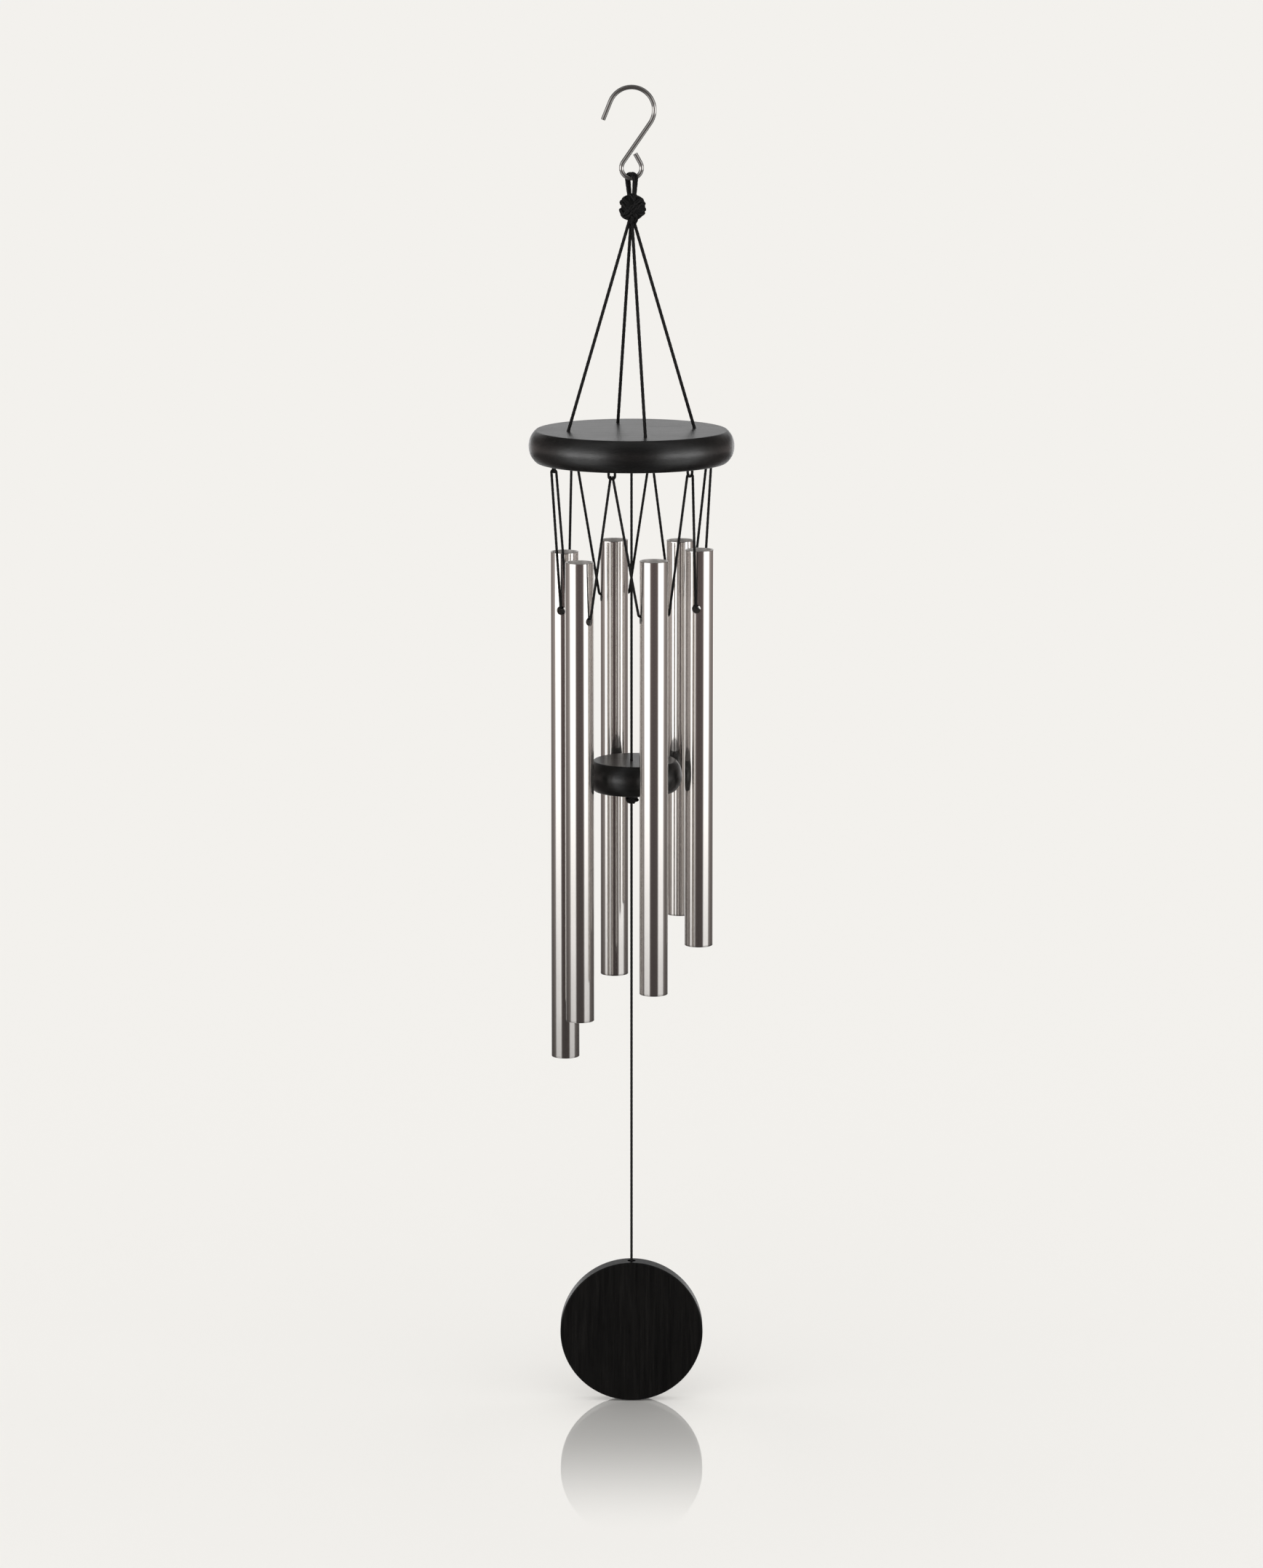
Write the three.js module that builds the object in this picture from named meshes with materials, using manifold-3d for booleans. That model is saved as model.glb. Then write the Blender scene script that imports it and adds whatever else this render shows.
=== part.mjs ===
// A hanging wind chime: steel S-hook, corded wooden disc, six aluminium tubes, striker and sail.
// Millimetres, +Z up. The origin is the inside of the hook's crown, where the rod that carries it lies.

import * as THREE from 'three';
import { mergeVertices } from 'three/addons/utils/BufferGeometryUtils.js';
import Module from 'manifold-3d';

const wasm = await Module();
wasm.setup();

// Shared clearances
const SEAT_GAP = 0.3;
const CORD_WRAP_GAP = 0.35;
const HOLE_CLEARANCE = 0.6;

// S-hook, bent from round wire
const WIRE_D = 3;
const CROWN_INNER_R = 13.2;
const CROWN_FLARE_DEG = 22;
const TIP_LENGTH = 12.8;
const EYE_INNER_R = 5.1;
const EYE_DROP = 37.3;
const EYE_END_DEG = 29;
const EYE_END_LENGTH = 7;

// Suspension: two cords folded over the hook's eye, knotted together, four strands to the disc
const SUSPENSION_CORD_D = 2;
const LOOP_LENGTH = 10.6;
const LOOP_WIRE_GAP = 0.8;
const LOOP_SPLAY = 1.7;
const LOOP_PITCH = 2.6;
const KNOT_WIDTH = 16.4;
const KNOT_DEPTH = 13;
const KNOT_HEIGHT = 17;
const SUSPENSION_RISE = 135.8;
const STRAND_COUNT = 4;
const STRAND_START_GAP = 0.7;
const STRAND_PHASE_DEG = 12.3;
const STRAND_INSET = 20.2;
const STOPPER_D = 6.4;
const STOPPER_HEIGHT = 5;

// Knots in sight, as shares of their own size
const KNOT_CORE_R = 0.95;
const KNOT_BAND_R = 0.83;
const KNOT_STRAND_R = 0.34;

// Top disc, with a bulging side
const DISC_FLAT_R = 62.3;
const DISC_BULGE = 5;
const DISC_THICKNESS = 20.9;
const RECESS_DEPTH = 7.5;

// Cord loops under the disc
const CORD_D = 1.6;
const HANGER_DROP = 4.4;
const HANGER_WIDTH = 4.4;
const HANGER_CORNER_R = 1.2;
const HANGER_DEPTH = 10;

// Tubes, each on a sling of cord between two neighbouring loops
const TUBE_OD = 18.6;
const TUBE_WALL = 1.5;
const TUBE_INSET = 16.8;
const TUBE_HOLE_D = 6;
const TUBE_HOLE_DROP = 38;
const LONGEST_TUBE = 340;
const TUBE_DROP = 58.7;
const FIRST_TUBE_DEG = 166;
// Shares of the longest tube, of the usual drop below the disc, and of a tube's width slid along its sling
const TUBES = [
  { length: 1, drop: 1.036, slide: -0.02 },
  { length: 0.897, drop: 1.056, slide: -0.17 },
  { length: 0.844, drop: 1.01, slide: 0.11 },
  { length: 0.776, drop: 0.963, slide: 0.05 },
  { length: 0.741, drop: 0.956, slide: -0.06 },
  { length: 0.865, drop: 0.98, slide: -0.06 },
];
const BIGHT_SPREAD = 0.5;
const BIGHT_END_GAP = 0.7;

// Centre cord, striker and sail
const CENTRE_RECESS_DEPTH = 13;
const PLUG_HEIGHT = 4;
const CENTRE_KNOT_D = 6;
const CENTRE_KNOT_HEIGHT = 5;
const STRIKER_DROP = 198;
const STRIKER_GAP = 5;
const STRIKER_OFFSET = 2.2;
const STRIKER_BULGE = 4.2;
const STRIKER_THICKNESS = 20;
const STRIKER_KNOT_WIDTH = 7.6;
const STRIKER_KNOT_HEIGHT = 9.3;
const SAIL_DROP = 321.2;
const SAIL_R = 47.75;
const SAIL_THICKNESS = 13;
const SAIL_EDGE_R = 0.6;
const SAIL_HOLE_D = 5.6;
const SAIL_HOLE_DEPTH = 14;
const SAIL_PLUG_SINK = 2.5;
const SAIL_PLUG_HEIGHT = 3;
const SAIL_KNOT_D = 4.6;
const SAIL_KNOT_HEIGHT = 4;

// Facets round each kind of piece
const CORD_SIDES = 8;
const WIRE_SIDES = 12;
const HOLE_SIDES = 14;
const TUBE_SIDES = 48;
const DISC_SIDES = 64;
const BULGE_STEPS = 8;
const CUT_OVERRUN = 1;

// Heights and radii worked out from the sizes above
const wireR = WIRE_D / 2;
const crownR = CROWN_INNER_R + wireR;
const eyeR = EYE_INNER_R + wireR;
const crownZ = -CROWN_INNER_R;
const eyeCentreZ = crownZ - EYE_DROP;
const eyeWireZ = eyeCentreZ - eyeR;
const knotTopZ = eyeWireZ - LOOP_LENGTH;
const knotBottomZ = knotTopZ - KNOT_HEIGHT;
const discTopZ = knotBottomZ - SUSPENSION_RISE;
const discBottomZ = discTopZ - DISC_THICKNESS;
const saddleZ = discBottomZ - HANGER_DROP;
const strikerTopZ = discBottomZ - STRIKER_DROP;
const strikerBottomZ = strikerTopZ - STRIKER_THICKNESS;
const strikerKnotTopZ = strikerBottomZ - SEAT_GAP;
const strikerKnotBottomZ = strikerKnotTopZ - STRIKER_KNOT_HEIGHT;
const sailTopZ = strikerBottomZ - SAIL_DROP;
const cordR = CORD_D / 2;
const cordHoleR = cordR + HOLE_CLEARANCE;
const tubeR = TUBE_OD / 2;
const tubeStepDeg = 360 / TUBES.length;
const halfStep = THREE.MathUtils.degToRad(tubeStepDeg / 2);
const tubeRingR = DISC_FLAT_R - TUBE_INSET;
const hangerRingR = tubeRingR / Math.cos(halfStep);
const halfChord = tubeRingR * Math.tan(halfStep);
const strandHoleRingR = DISC_FLAT_R - STRAND_INSET;
const strikerFlatR = tubeRingR - tubeR - STRIKER_GAP - STRIKER_BULGE;

const materials = {
  steel: { color: 0xcfcfcf, roughness: 0.16, metalness: 1 },
  aluminium: { color: 0xc4c1be, roughness: 0.3, metalness: 1 },
  wood: { color: 0x1f1e1d, roughness: 0.55, metalness: 0 },
  cord: { color: 0x151515, roughness: 0.8, metalness: 0 },
};

const chime = new THREE.Group();

function addPiece(parent, name, geometry, finish) {
  const mesh = new THREE.Mesh(geometry, new THREE.MeshStandardMaterial(materials[finish]));
  mesh.name = name;
  parent.add(mesh);
  return mesh;
}

function groupAt(parent, azimuthDeg, radius, z) {
  const group = new THREE.Group();
  const azimuth = THREE.MathUtils.degToRad(azimuthDeg);
  group.position.set(radius * Math.cos(azimuth), radius * Math.sin(azimuth), z);
  group.rotation.z = azimuth;
  parent.add(group);
  return group;
}

// Joining and cutting closed geometries

function toSolid(geometry) {
  const bare = geometry.clone();
  bare.deleteAttribute('normal');
  bare.deleteAttribute('uv');
  const merged = mergeVertices(bare, 1e-4);
  const corners = merged.index.array;
  const kept = [];
  for (let i = 0; i < corners.length; i += 3) {
    const [a, b, c] = [corners[i], corners[i + 1], corners[i + 2]];
    if (a !== b && b !== c && c !== a) kept.push(a, b, c);
  }
  return new wasm.Manifold(new wasm.Mesh({
    numProp: 3,
    vertProperties: new Float32Array(merged.attributes.position.array),
    triVerts: new Uint32Array(kept),
  }));
}

function toGeometry(solid) {
  const mesh = solid.getMesh();
  const geometry = new THREE.BufferGeometry();
  geometry.setAttribute('position', new THREE.BufferAttribute(new Float32Array(mesh.vertProperties), 3));
  geometry.setIndex(new THREE.BufferAttribute(new Uint32Array(mesh.triVerts), 1));
  geometry.computeVertexNormals();
  return geometry;
}

function cut(geometry, tools) {
  return toGeometry(tools.reduce((rest, tool) => rest.subtract(toSolid(tool)), toSolid(geometry)));
}

function join(geometries) {
  return toGeometry(geometries.map(toSolid).reduce((sum, next) => sum.add(next)));
}

// Shapes that several pieces share

// A route given point by point, so that the section is placed at each point and nowhere else
class Route extends THREE.Curve {
  constructor(points) {
    super();
    this.points = points;
  }

  getUtoTmapping(u) {
    return u;
  }

  getPoint(t, target = new THREE.Vector3()) {
    const last = this.points.length - 1;
    const i = Math.min(Math.floor(t * last), last - 1);
    return target.lerpVectors(this.points[i], this.points[i + 1], t * last - i);
  }

  getTangent(t, target = new THREE.Vector3()) {
    const last = this.points.length - 1;
    const i = Math.round(t * last);
    const here = this.points[i];
    const before = this.points[Math.max(i - 1, 0)];
    const after = this.points[Math.min(i + 1, last)];
    const arriving = here.clone().sub(before).normalize();
    const leaving = after.clone().sub(here).normalize();
    return target.addVectors(arriving, leaving).normalize();
  }
}

function sweep(points, diameter, sides) {
  const section = new THREE.Shape();
  for (let i = 0; i < sides; i += 1) {
    const turn = (2 * Math.PI * i) / sides;
    const x = (diameter / 2) * Math.cos(turn);
    const y = (diameter / 2) * Math.sin(turn);
    if (i === 0) section.moveTo(x, y);
    else section.lineTo(x, y);
  }
  section.closePath();
  return new THREE.ExtrudeGeometry(section, {
    steps: points.length - 1,
    extrudePath: new Route(points),
    bevelEnabled: false,
  });
}

// Points of an arc in a plane given by two axes, from one angle to another
function arc(centre, alongX, alongY, radius, fromDeg, toDeg, steps) {
  const points = [];
  for (let i = 0; i <= steps; i += 1) {
    const turn = THREE.MathUtils.degToRad(fromDeg + ((toDeg - fromDeg) * i) / steps);
    points.push(centre.clone()
      .addScaledVector(alongX, radius * Math.cos(turn))
      .addScaledVector(alongY, radius * Math.sin(turn)));
  }
  return points;
}

// An upright round bar between two heights, used for straight cords and for drilling
function bar(radius, topZ, bottomZ, sides) {
  return new THREE.CylinderGeometry(radius, radius, topZ - bottomZ, sides)
    .rotateX(Math.PI / 2)
    .translate(0, 0, (topZ + bottomZ) / 2);
}

function ring(outerR, innerR, topZ, bottomZ, sides) {
  const body = bar(outerR, topZ, bottomZ, sides);
  return cut(body, [bar(innerR, topZ + CUT_OVERRUN, bottomZ - CUT_OVERRUN, sides)]);
}

// A disc whose side bulges out in an arc between two flat faces, turned about the Z axis
function bulgedDisc(flatR, bulge, thickness, topZ) {
  const half = thickness / 2;
  const arcR = (half * half + bulge * bulge) / (2 * bulge);
  const halfAngle = Math.asin(half / arcR);
  const profile = [new THREE.Vector2(0, -half)];
  for (let i = 0; i <= BULGE_STEPS; i += 1) {
    const turn = halfAngle * ((2 * i) / BULGE_STEPS - 1);
    profile.push(new THREE.Vector2(flatR + bulge - arcR + arcR * Math.cos(turn), arcR * Math.sin(turn)));
  }
  profile.push(new THREE.Vector2(0, half));
  return new THREE.LatheGeometry(profile, DISC_SIDES)
    .rotateX(Math.PI / 2)
    .translate(0, 0, topZ - half);
}

// A knot in sight: a rounded core with three bands of cord drawn tight round it
function knot(width, depth, height, topZ, sides) {
  const bands = [
    { lean: -40, turn: 0 },
    { lean: 48, turn: 20 },
    { lean: 90, turn: 65 },
  ];
  const core = new THREE.SphereGeometry(KNOT_CORE_R, sides * 2, sides);
  const wraps = bands.map(({ lean, turn }) => (
    new THREE.TorusGeometry(KNOT_BAND_R, KNOT_STRAND_R, sides, sides * 2)
      .rotateY(THREE.MathUtils.degToRad(lean))
      .rotateZ(THREE.MathUtils.degToRad(turn))
  ));
  const joined = join([core, ...wraps]);
  joined.computeBoundingBox();
  const size = joined.boundingBox.getSize(new THREE.Vector3());
  return joined
    .translate(0, 0, -joined.boundingBox.max.z)
    .scale(width / size.x, depth / size.y, height / size.z)
    .translate(0, 0, topZ);
}

// A knot out of sight, drawn into a plain ball
function ballKnot(diameter, height, topZ) {
  return new THREE.SphereGeometry(0.5, 12, 8)
    .rotateX(Math.PI / 2)
    .scale(diameter, diameter, height)
    .translate(0, 0, topZ - height / 2);
}

// S-hook: flared tip, crown, straight stem, eye and the eye's short end

function hookGeometry() {
  const alongX = new THREE.Vector3(1, 0, 0);
  const alongZ = new THREE.Vector3(0, 0, 1);
  const crown = new THREE.Vector3(0, 0, crownZ);
  const eye = new THREE.Vector3(0, 0, eyeCentreZ);
  const stemDeg = THREE.MathUtils.radToDeg(Math.asin((crownR + eyeR) / EYE_DROP));
  const crownArc = arc(crown, alongX, alongZ, crownR, 180 - CROWN_FLARE_DEG, -stemDeg, 20);
  const eyeArc = arc(eye, alongX, alongZ, eyeR, 180 - stemDeg, 360 + EYE_END_DEG, 22);
  const flare = THREE.MathUtils.degToRad(CROWN_FLARE_DEG);
  const lean = THREE.MathUtils.degToRad(EYE_END_DEG);
  const tip = crownArc[0].clone()
    .add(new THREE.Vector3(-Math.sin(flare), 0, -Math.cos(flare)).multiplyScalar(TIP_LENGTH));
  const end = eyeArc[eyeArc.length - 1].clone()
    .add(new THREE.Vector3(-Math.sin(lean), 0, Math.cos(lean)).multiplyScalar(EYE_END_LENGTH));
  return sweep([tip, ...crownArc, ...eyeArc, end], WIRE_D, WIRE_SIDES);
}

addPiece(chime, 'hook', hookGeometry(), 'steel');

// Hanging loop: two cords side by side over the eye's wire, front leg to the right, back leg to the left

function loopCordGeometry(shift) {
  const wrapR = wireR + SUSPENSION_CORD_D / 2 + LOOP_WIRE_GAP;
  const entry = SUSPENSION_CORD_D / 2 + SEAT_GAP;
  const bottomZ = knotTopZ + SEAT_GAP;
  const points = [new THREE.Vector3(shift + SEAT_GAP / 2, -entry, bottomZ)];
  const steps = 10;
  for (let i = 0; i <= steps; i += 1) {
    const share = i / steps;
    const turn = Math.PI * share;
    points.push(new THREE.Vector3(
      shift + LOOP_SPLAY * Math.cos(turn),
      -wrapR * Math.cos(turn),
      eyeWireZ + wrapR * Math.sin(turn),
    ));
  }
  points.push(new THREE.Vector3(shift - SEAT_GAP / 2, entry, bottomZ));
  return sweep(points, SUSPENSION_CORD_D, CORD_SIDES);
}

addPiece(chime, 'loop_cord_left', loopCordGeometry(-LOOP_PITCH / 2), 'cord');
addPiece(chime, 'loop_cord_right', loopCordGeometry(LOOP_PITCH / 2), 'cord');
addPiece(chime, 'top_knot', knot(KNOT_WIDTH, KNOT_DEPTH, KNOT_HEIGHT, knotTopZ, 8), 'cord');

// Four strands from the knot, down through the disc to stopper knots sunk in its underside

const stopperTopZ = discBottomZ + RECESS_DEPTH - SEAT_GAP;
const strandR = SUSPENSION_CORD_D / 2;
const strandHoleR = strandR + HOLE_CLEARANCE;
const stopperRecessR = STOPPER_D / 2 + HOLE_CLEARANCE;
const strandExitR = (SUSPENSION_CORD_D + SEAT_GAP) / (2 * Math.sin(Math.PI / STRAND_COUNT));
const strandAzimuths = Array.from(
  { length: STRAND_COUNT },
  (_, i) => STRAND_PHASE_DEG + (360 * i) / STRAND_COUNT,
);

strandAzimuths.forEach((azimuth, i) => {
  const group = groupAt(chime, azimuth, 0, 0);
  const route = [
    new THREE.Vector3(strandExitR, 0, knotBottomZ - STRAND_START_GAP),
    new THREE.Vector3(strandHoleRingR, 0, discTopZ),
    new THREE.Vector3(strandHoleRingR, 0, stopperTopZ + SEAT_GAP),
  ];
  addPiece(group, `suspension_strand_${i + 1}`, sweep(route, SUSPENSION_CORD_D, CORD_SIDES), 'cord');
  const stopper = ballKnot(STOPPER_D, STOPPER_HEIGHT, stopperTopZ).translate(strandHoleRingR, 0, 0);
  addPiece(group, `stopper_knot_${i + 1}`, stopper, 'cord');
});

// Top disc, drilled for the strands, the hanger loops and the centre cord

const tubeAzimuths = TUBES.map((_, i) => FIRST_TUBE_DEG + tubeStepDeg * i);
const hangerAzimuths = tubeAzimuths.map((azimuth) => azimuth - tubeStepDeg / 2);
const hangerTopZ = discBottomZ + HANGER_DEPTH;
const centreRecessR = CENTRE_KNOT_D / 2 + HOLE_CLEARANCE;

function turnedAbout(geometry, azimuthDeg) {
  return geometry.rotateZ(THREE.MathUtils.degToRad(azimuthDeg));
}

function discGeometry() {
  const belowZ = discBottomZ - CUT_OVERRUN;
  const drills = [bar(centreRecessR, discBottomZ + CENTRE_RECESS_DEPTH, belowZ, HOLE_SIDES)];
  strandAzimuths.forEach((azimuth) => {
    const hole = bar(strandHoleR, discTopZ + CUT_OVERRUN, belowZ, HOLE_SIDES)
      .translate(strandHoleRingR, 0, 0);
    const recess = bar(stopperRecessR, discBottomZ + RECESS_DEPTH, belowZ, HOLE_SIDES)
      .translate(strandHoleRingR, 0, 0);
    drills.push(turnedAbout(hole, azimuth), turnedAbout(recess, azimuth));
  });
  hangerAzimuths.forEach((azimuth) => {
    [-1, 1].forEach((side) => {
      const hole = bar(cordR + SEAT_GAP, hangerTopZ + SEAT_GAP, belowZ, HOLE_SIDES)
        .translate(hangerRingR, (side * HANGER_WIDTH) / 2, 0);
      drills.push(turnedAbout(hole, azimuth));
    });
  });
  return cut(bulgedDisc(DISC_FLAT_R, DISC_BULGE, DISC_THICKNESS, discTopZ), drills);
}

addPiece(chime, 'top_disc', discGeometry(), 'wood');

// Hanger loops: short U-shaped cords set in the disc's underside

function hangerGeometry() {
  const across = new THREE.Vector3(0, 1, 0);
  const up = new THREE.Vector3(0, 0, 1);
  const inner = HANGER_WIDTH / 2 - HANGER_CORNER_R;
  const cornerZ = saddleZ + HANGER_CORNER_R;
  const left = arc(new THREE.Vector3(0, -inner, cornerZ), across, up, HANGER_CORNER_R, 180, 270, 4);
  const right = arc(new THREE.Vector3(0, inner, cornerZ), across, up, HANGER_CORNER_R, 270, 360, 4);
  const start = new THREE.Vector3(0, -HANGER_WIDTH / 2, hangerTopZ);
  const end = new THREE.Vector3(0, HANGER_WIDTH / 2, hangerTopZ);
  return sweep([start, ...left, ...right, end], CORD_D, CORD_SIDES);
}

hangerAzimuths.forEach((azimuth, i) => {
  const group = groupAt(chime, azimuth, hangerRingR, 0);
  addPiece(group, `hanger_loop_${i + 1}`, hangerGeometry(), 'cord');
});

// Slings and tubes, in each tube's own place: X outward, Y along the sling, Z from the loops' saddles

// A point beside a loop, given outward and along the loop's own direction
function besideLoop(side, outward, along, z) {
  const turn = side * halfStep;
  return new THREE.Vector3(
    outward * Math.cos(turn) - along * Math.sin(turn),
    side * halfChord + outward * Math.sin(turn) + along * Math.cos(turn),
    z,
  );
}

// Half of the bight over a loop: from near its top, down the loop's inner or outer side
function halfBight(side) {
  const wrapR = CORD_D + CORD_WRAP_GAP;
  const firstTurn = BIGHT_END_GAP / 2 / wrapR;
  const steps = 5;
  const points = [];
  for (let i = 0; i <= steps; i += 1) {
    const turn = firstTurn + ((Math.PI / 2 - firstTurn) * i) / steps;
    const spread = (BIGHT_SPREAD * turn) / (Math.PI / 2);
    points.push(besideLoop(side, side * wrapR * Math.sin(turn), -side * spread, wrapR * Math.cos(turn)));
  }
  return points;
}

function slingGeometry(slide, holeZ) {
  const bendR = cordR + CORD_WRAP_GAP;
  const holeTopZ = holeZ + TUBE_HOLE_D / 2;
  const along = new THREE.Vector3(0, 1, 0);
  const up = new THREE.Vector3(0, 0, 1);
  const bends = [-1, 1].map((side) => arc(
    new THREE.Vector3(0, slide + side * tubeR, holeTopZ),
    along.clone().multiplyScalar(side),
    up,
    bendR,
    0,
    -90,
    6,
  ));
  return sweep([
    ...halfBight(-1),
    ...bends[0],
    ...bends[1].reverse(),
    ...halfBight(1).reverse(),
  ], CORD_D, CORD_SIDES);
}

function tubeGeometry(length, slide, topZ, holeZ) {
  const body = ring(tubeR, tubeR - TUBE_WALL, topZ, topZ - length, TUBE_SIDES);
  const holeR = TUBE_HOLE_D / 2;
  const drill = new THREE.CylinderGeometry(holeR, holeR, TUBE_OD + 2 * CUT_OVERRUN, HOLE_SIDES)
    .translate(0, 0, holeZ);
  return cut(body, [drill]).translate(0, slide, 0);
}

TUBES.forEach((tube, i) => {
  const group = groupAt(chime, tubeAzimuths[i], tubeRingR, saddleZ);
  const length = tube.length * LONGEST_TUBE;
  const slide = tube.slide * TUBE_OD;
  const topZ = HANGER_DROP - tube.drop * TUBE_DROP;
  const holeZ = topZ - TUBE_HOLE_DROP;
  addPiece(group, `sling_${i + 1}`, slingGeometry(slide, holeZ), 'cord');
  addPiece(group, `tube_${i + 1}`, tubeGeometry(length, slide, topZ, holeZ), 'aluminium');
});

// Centre cord: a knot held in the disc by a drilled plug, then the cord down to the striker's knot

const plugTopZ = discBottomZ + PLUG_HEIGHT;
const centreKnotBottomZ = plugTopZ + SEAT_GAP;
const centreKnotTopZ = centreKnotBottomZ + CENTRE_KNOT_HEIGHT;

addPiece(
  chime,
  'centre_plug',
  ring(centreRecessR - SEAT_GAP, cordHoleR, plugTopZ, discBottomZ, HOLE_SIDES),
  'wood',
);
addPiece(chime, 'centre_knot', ballKnot(CENTRE_KNOT_D, CENTRE_KNOT_HEIGHT, centreKnotTopZ), 'cord');
addPiece(
  chime,
  'centre_cord',
  bar(cordR, centreKnotBottomZ - SEAT_GAP, strikerKnotTopZ + SEAT_GAP, CORD_SIDES),
  'cord',
);

// Striker, loose on the cord above its knot, its hole a little left of its middle

addPiece(
  chime,
  'striker',
  cut(
    bulgedDisc(strikerFlatR, STRIKER_BULGE, STRIKER_THICKNESS, strikerTopZ).translate(STRIKER_OFFSET, 0, 0),
    [bar(cordHoleR, strikerTopZ + CUT_OVERRUN, strikerBottomZ - CUT_OVERRUN, HOLE_SIDES)],
  ),
  'wood',
);
addPiece(
  chime,
  'striker_knot',
  knot(STRIKER_KNOT_WIDTH, STRIKER_KNOT_WIDTH, STRIKER_KNOT_HEIGHT, strikerKnotTopZ, 6),
  'cord',
);

// Sail: an upright disc that faces the front, with the cord's end knotted inside its rim

const sailPlugTopZ = sailTopZ - SAIL_PLUG_SINK;
const sailPlugBottomZ = sailPlugTopZ - SAIL_PLUG_HEIGHT;
const sailKnotTopZ = sailPlugBottomZ - SEAT_GAP;

function sailGeometry() {
  const half = SAIL_THICKNESS / 2;
  const profile = [new THREE.Vector2(0, -half)];
  [-90, 0].forEach((from) => {
    const edgeY = Math.sign(from + 45) * (half - SAIL_EDGE_R);
    for (let i = 0; i <= 3; i += 1) {
      const turn = THREE.MathUtils.degToRad(from + 30 * i);
      profile.push(new THREE.Vector2(
        SAIL_R - SAIL_EDGE_R + SAIL_EDGE_R * Math.cos(turn),
        edgeY + SAIL_EDGE_R * Math.sin(turn),
      ));
    }
  });
  profile.push(new THREE.Vector2(0, half));
  const body = new THREE.LatheGeometry(profile, DISC_SIDES).translate(0, 0, sailTopZ - SAIL_R);
  return cut(body, [bar(SAIL_HOLE_D / 2, sailTopZ + CUT_OVERRUN, sailTopZ - SAIL_HOLE_DEPTH, HOLE_SIDES)]);
}

addPiece(
  chime,
  'sail_cord',
  bar(cordR, strikerKnotBottomZ - SEAT_GAP, sailKnotTopZ + SEAT_GAP, CORD_SIDES),
  'cord',
);
addPiece(chime, 'sail', sailGeometry(), 'wood');
addPiece(
  chime,
  'sail_plug',
  ring(SAIL_HOLE_D / 2 - SEAT_GAP, cordHoleR, sailPlugTopZ, sailPlugBottomZ, HOLE_SIDES),
  'wood',
);
addPiece(chime, 'sail_knot', ballKnot(SAIL_KNOT_D, SAIL_KNOT_HEIGHT, sailKnotTopZ), 'cord');

export default chime;
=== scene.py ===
"""Dresses a hanging wind chime: hook, cords, knots, black wood, aluminium tubes and a plain studio."""

import math

import bmesh
import bpy
from mathutils import Matrix, Vector, geometry


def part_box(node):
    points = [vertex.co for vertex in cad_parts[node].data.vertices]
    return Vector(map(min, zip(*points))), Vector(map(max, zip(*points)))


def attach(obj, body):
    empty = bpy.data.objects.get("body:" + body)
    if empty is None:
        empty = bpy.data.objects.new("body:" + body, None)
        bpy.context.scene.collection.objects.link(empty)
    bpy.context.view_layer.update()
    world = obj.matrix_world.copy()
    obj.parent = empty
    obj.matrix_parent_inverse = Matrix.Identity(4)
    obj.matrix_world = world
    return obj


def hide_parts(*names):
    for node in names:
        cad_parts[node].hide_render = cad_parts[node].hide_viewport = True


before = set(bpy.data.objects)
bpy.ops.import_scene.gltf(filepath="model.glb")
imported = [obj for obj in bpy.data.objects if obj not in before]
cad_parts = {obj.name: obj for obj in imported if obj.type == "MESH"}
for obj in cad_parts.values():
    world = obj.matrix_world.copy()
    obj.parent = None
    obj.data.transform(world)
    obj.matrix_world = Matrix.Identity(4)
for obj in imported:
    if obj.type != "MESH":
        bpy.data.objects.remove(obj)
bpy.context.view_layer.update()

bl_info = {
    "name": "Wind chime",
    "version": (1, 0, 0),
    "blender": (4, 5, 0),
    "location": "View3D > Sidebar > Chime",
    "description": "Builds the visible pieces of a hanging wind chime round its packed solids",
    "category": "Object",
}

MM = 0.001
TUBE_COUNT = 6
STRAND_COUNT = 4
PHOTO_HEIGHT_PX = 2155
SENSOR_MM = 36.0
UP = Vector((0, 0, 1))
RIGHT = Vector((1, 0, 0))
BACK = Vector((0, 1, 0))


# Properties: the sizes and colours that a user would change


def length(name, description, millimetres):
    return bpy.props.FloatProperty(
        name=name, description=description, default=millimetres * MM, unit="LENGTH", precision=5
    )


def angle(name, description, degrees):
    return bpy.props.FloatProperty(
        name=name, description=description, default=math.radians(degrees), subtype="ANGLE"
    )


def linear(hex_colour):
    """Turns an sRGB hex colour into linear red, green and blue."""
    shares = [int(hex_colour[i:i + 2], 16) / 255 for i in (1, 3, 5)]
    return [s / 12.92 if s <= 0.04045 else ((s + 0.055) / 1.055) ** 2.4 for s in shares]


def colour(name, description, hex_colour):
    return bpy.props.FloatVectorProperty(
        name=name, description=description, default=linear(hex_colour), subtype="COLOR", min=0, max=1
    )


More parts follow.
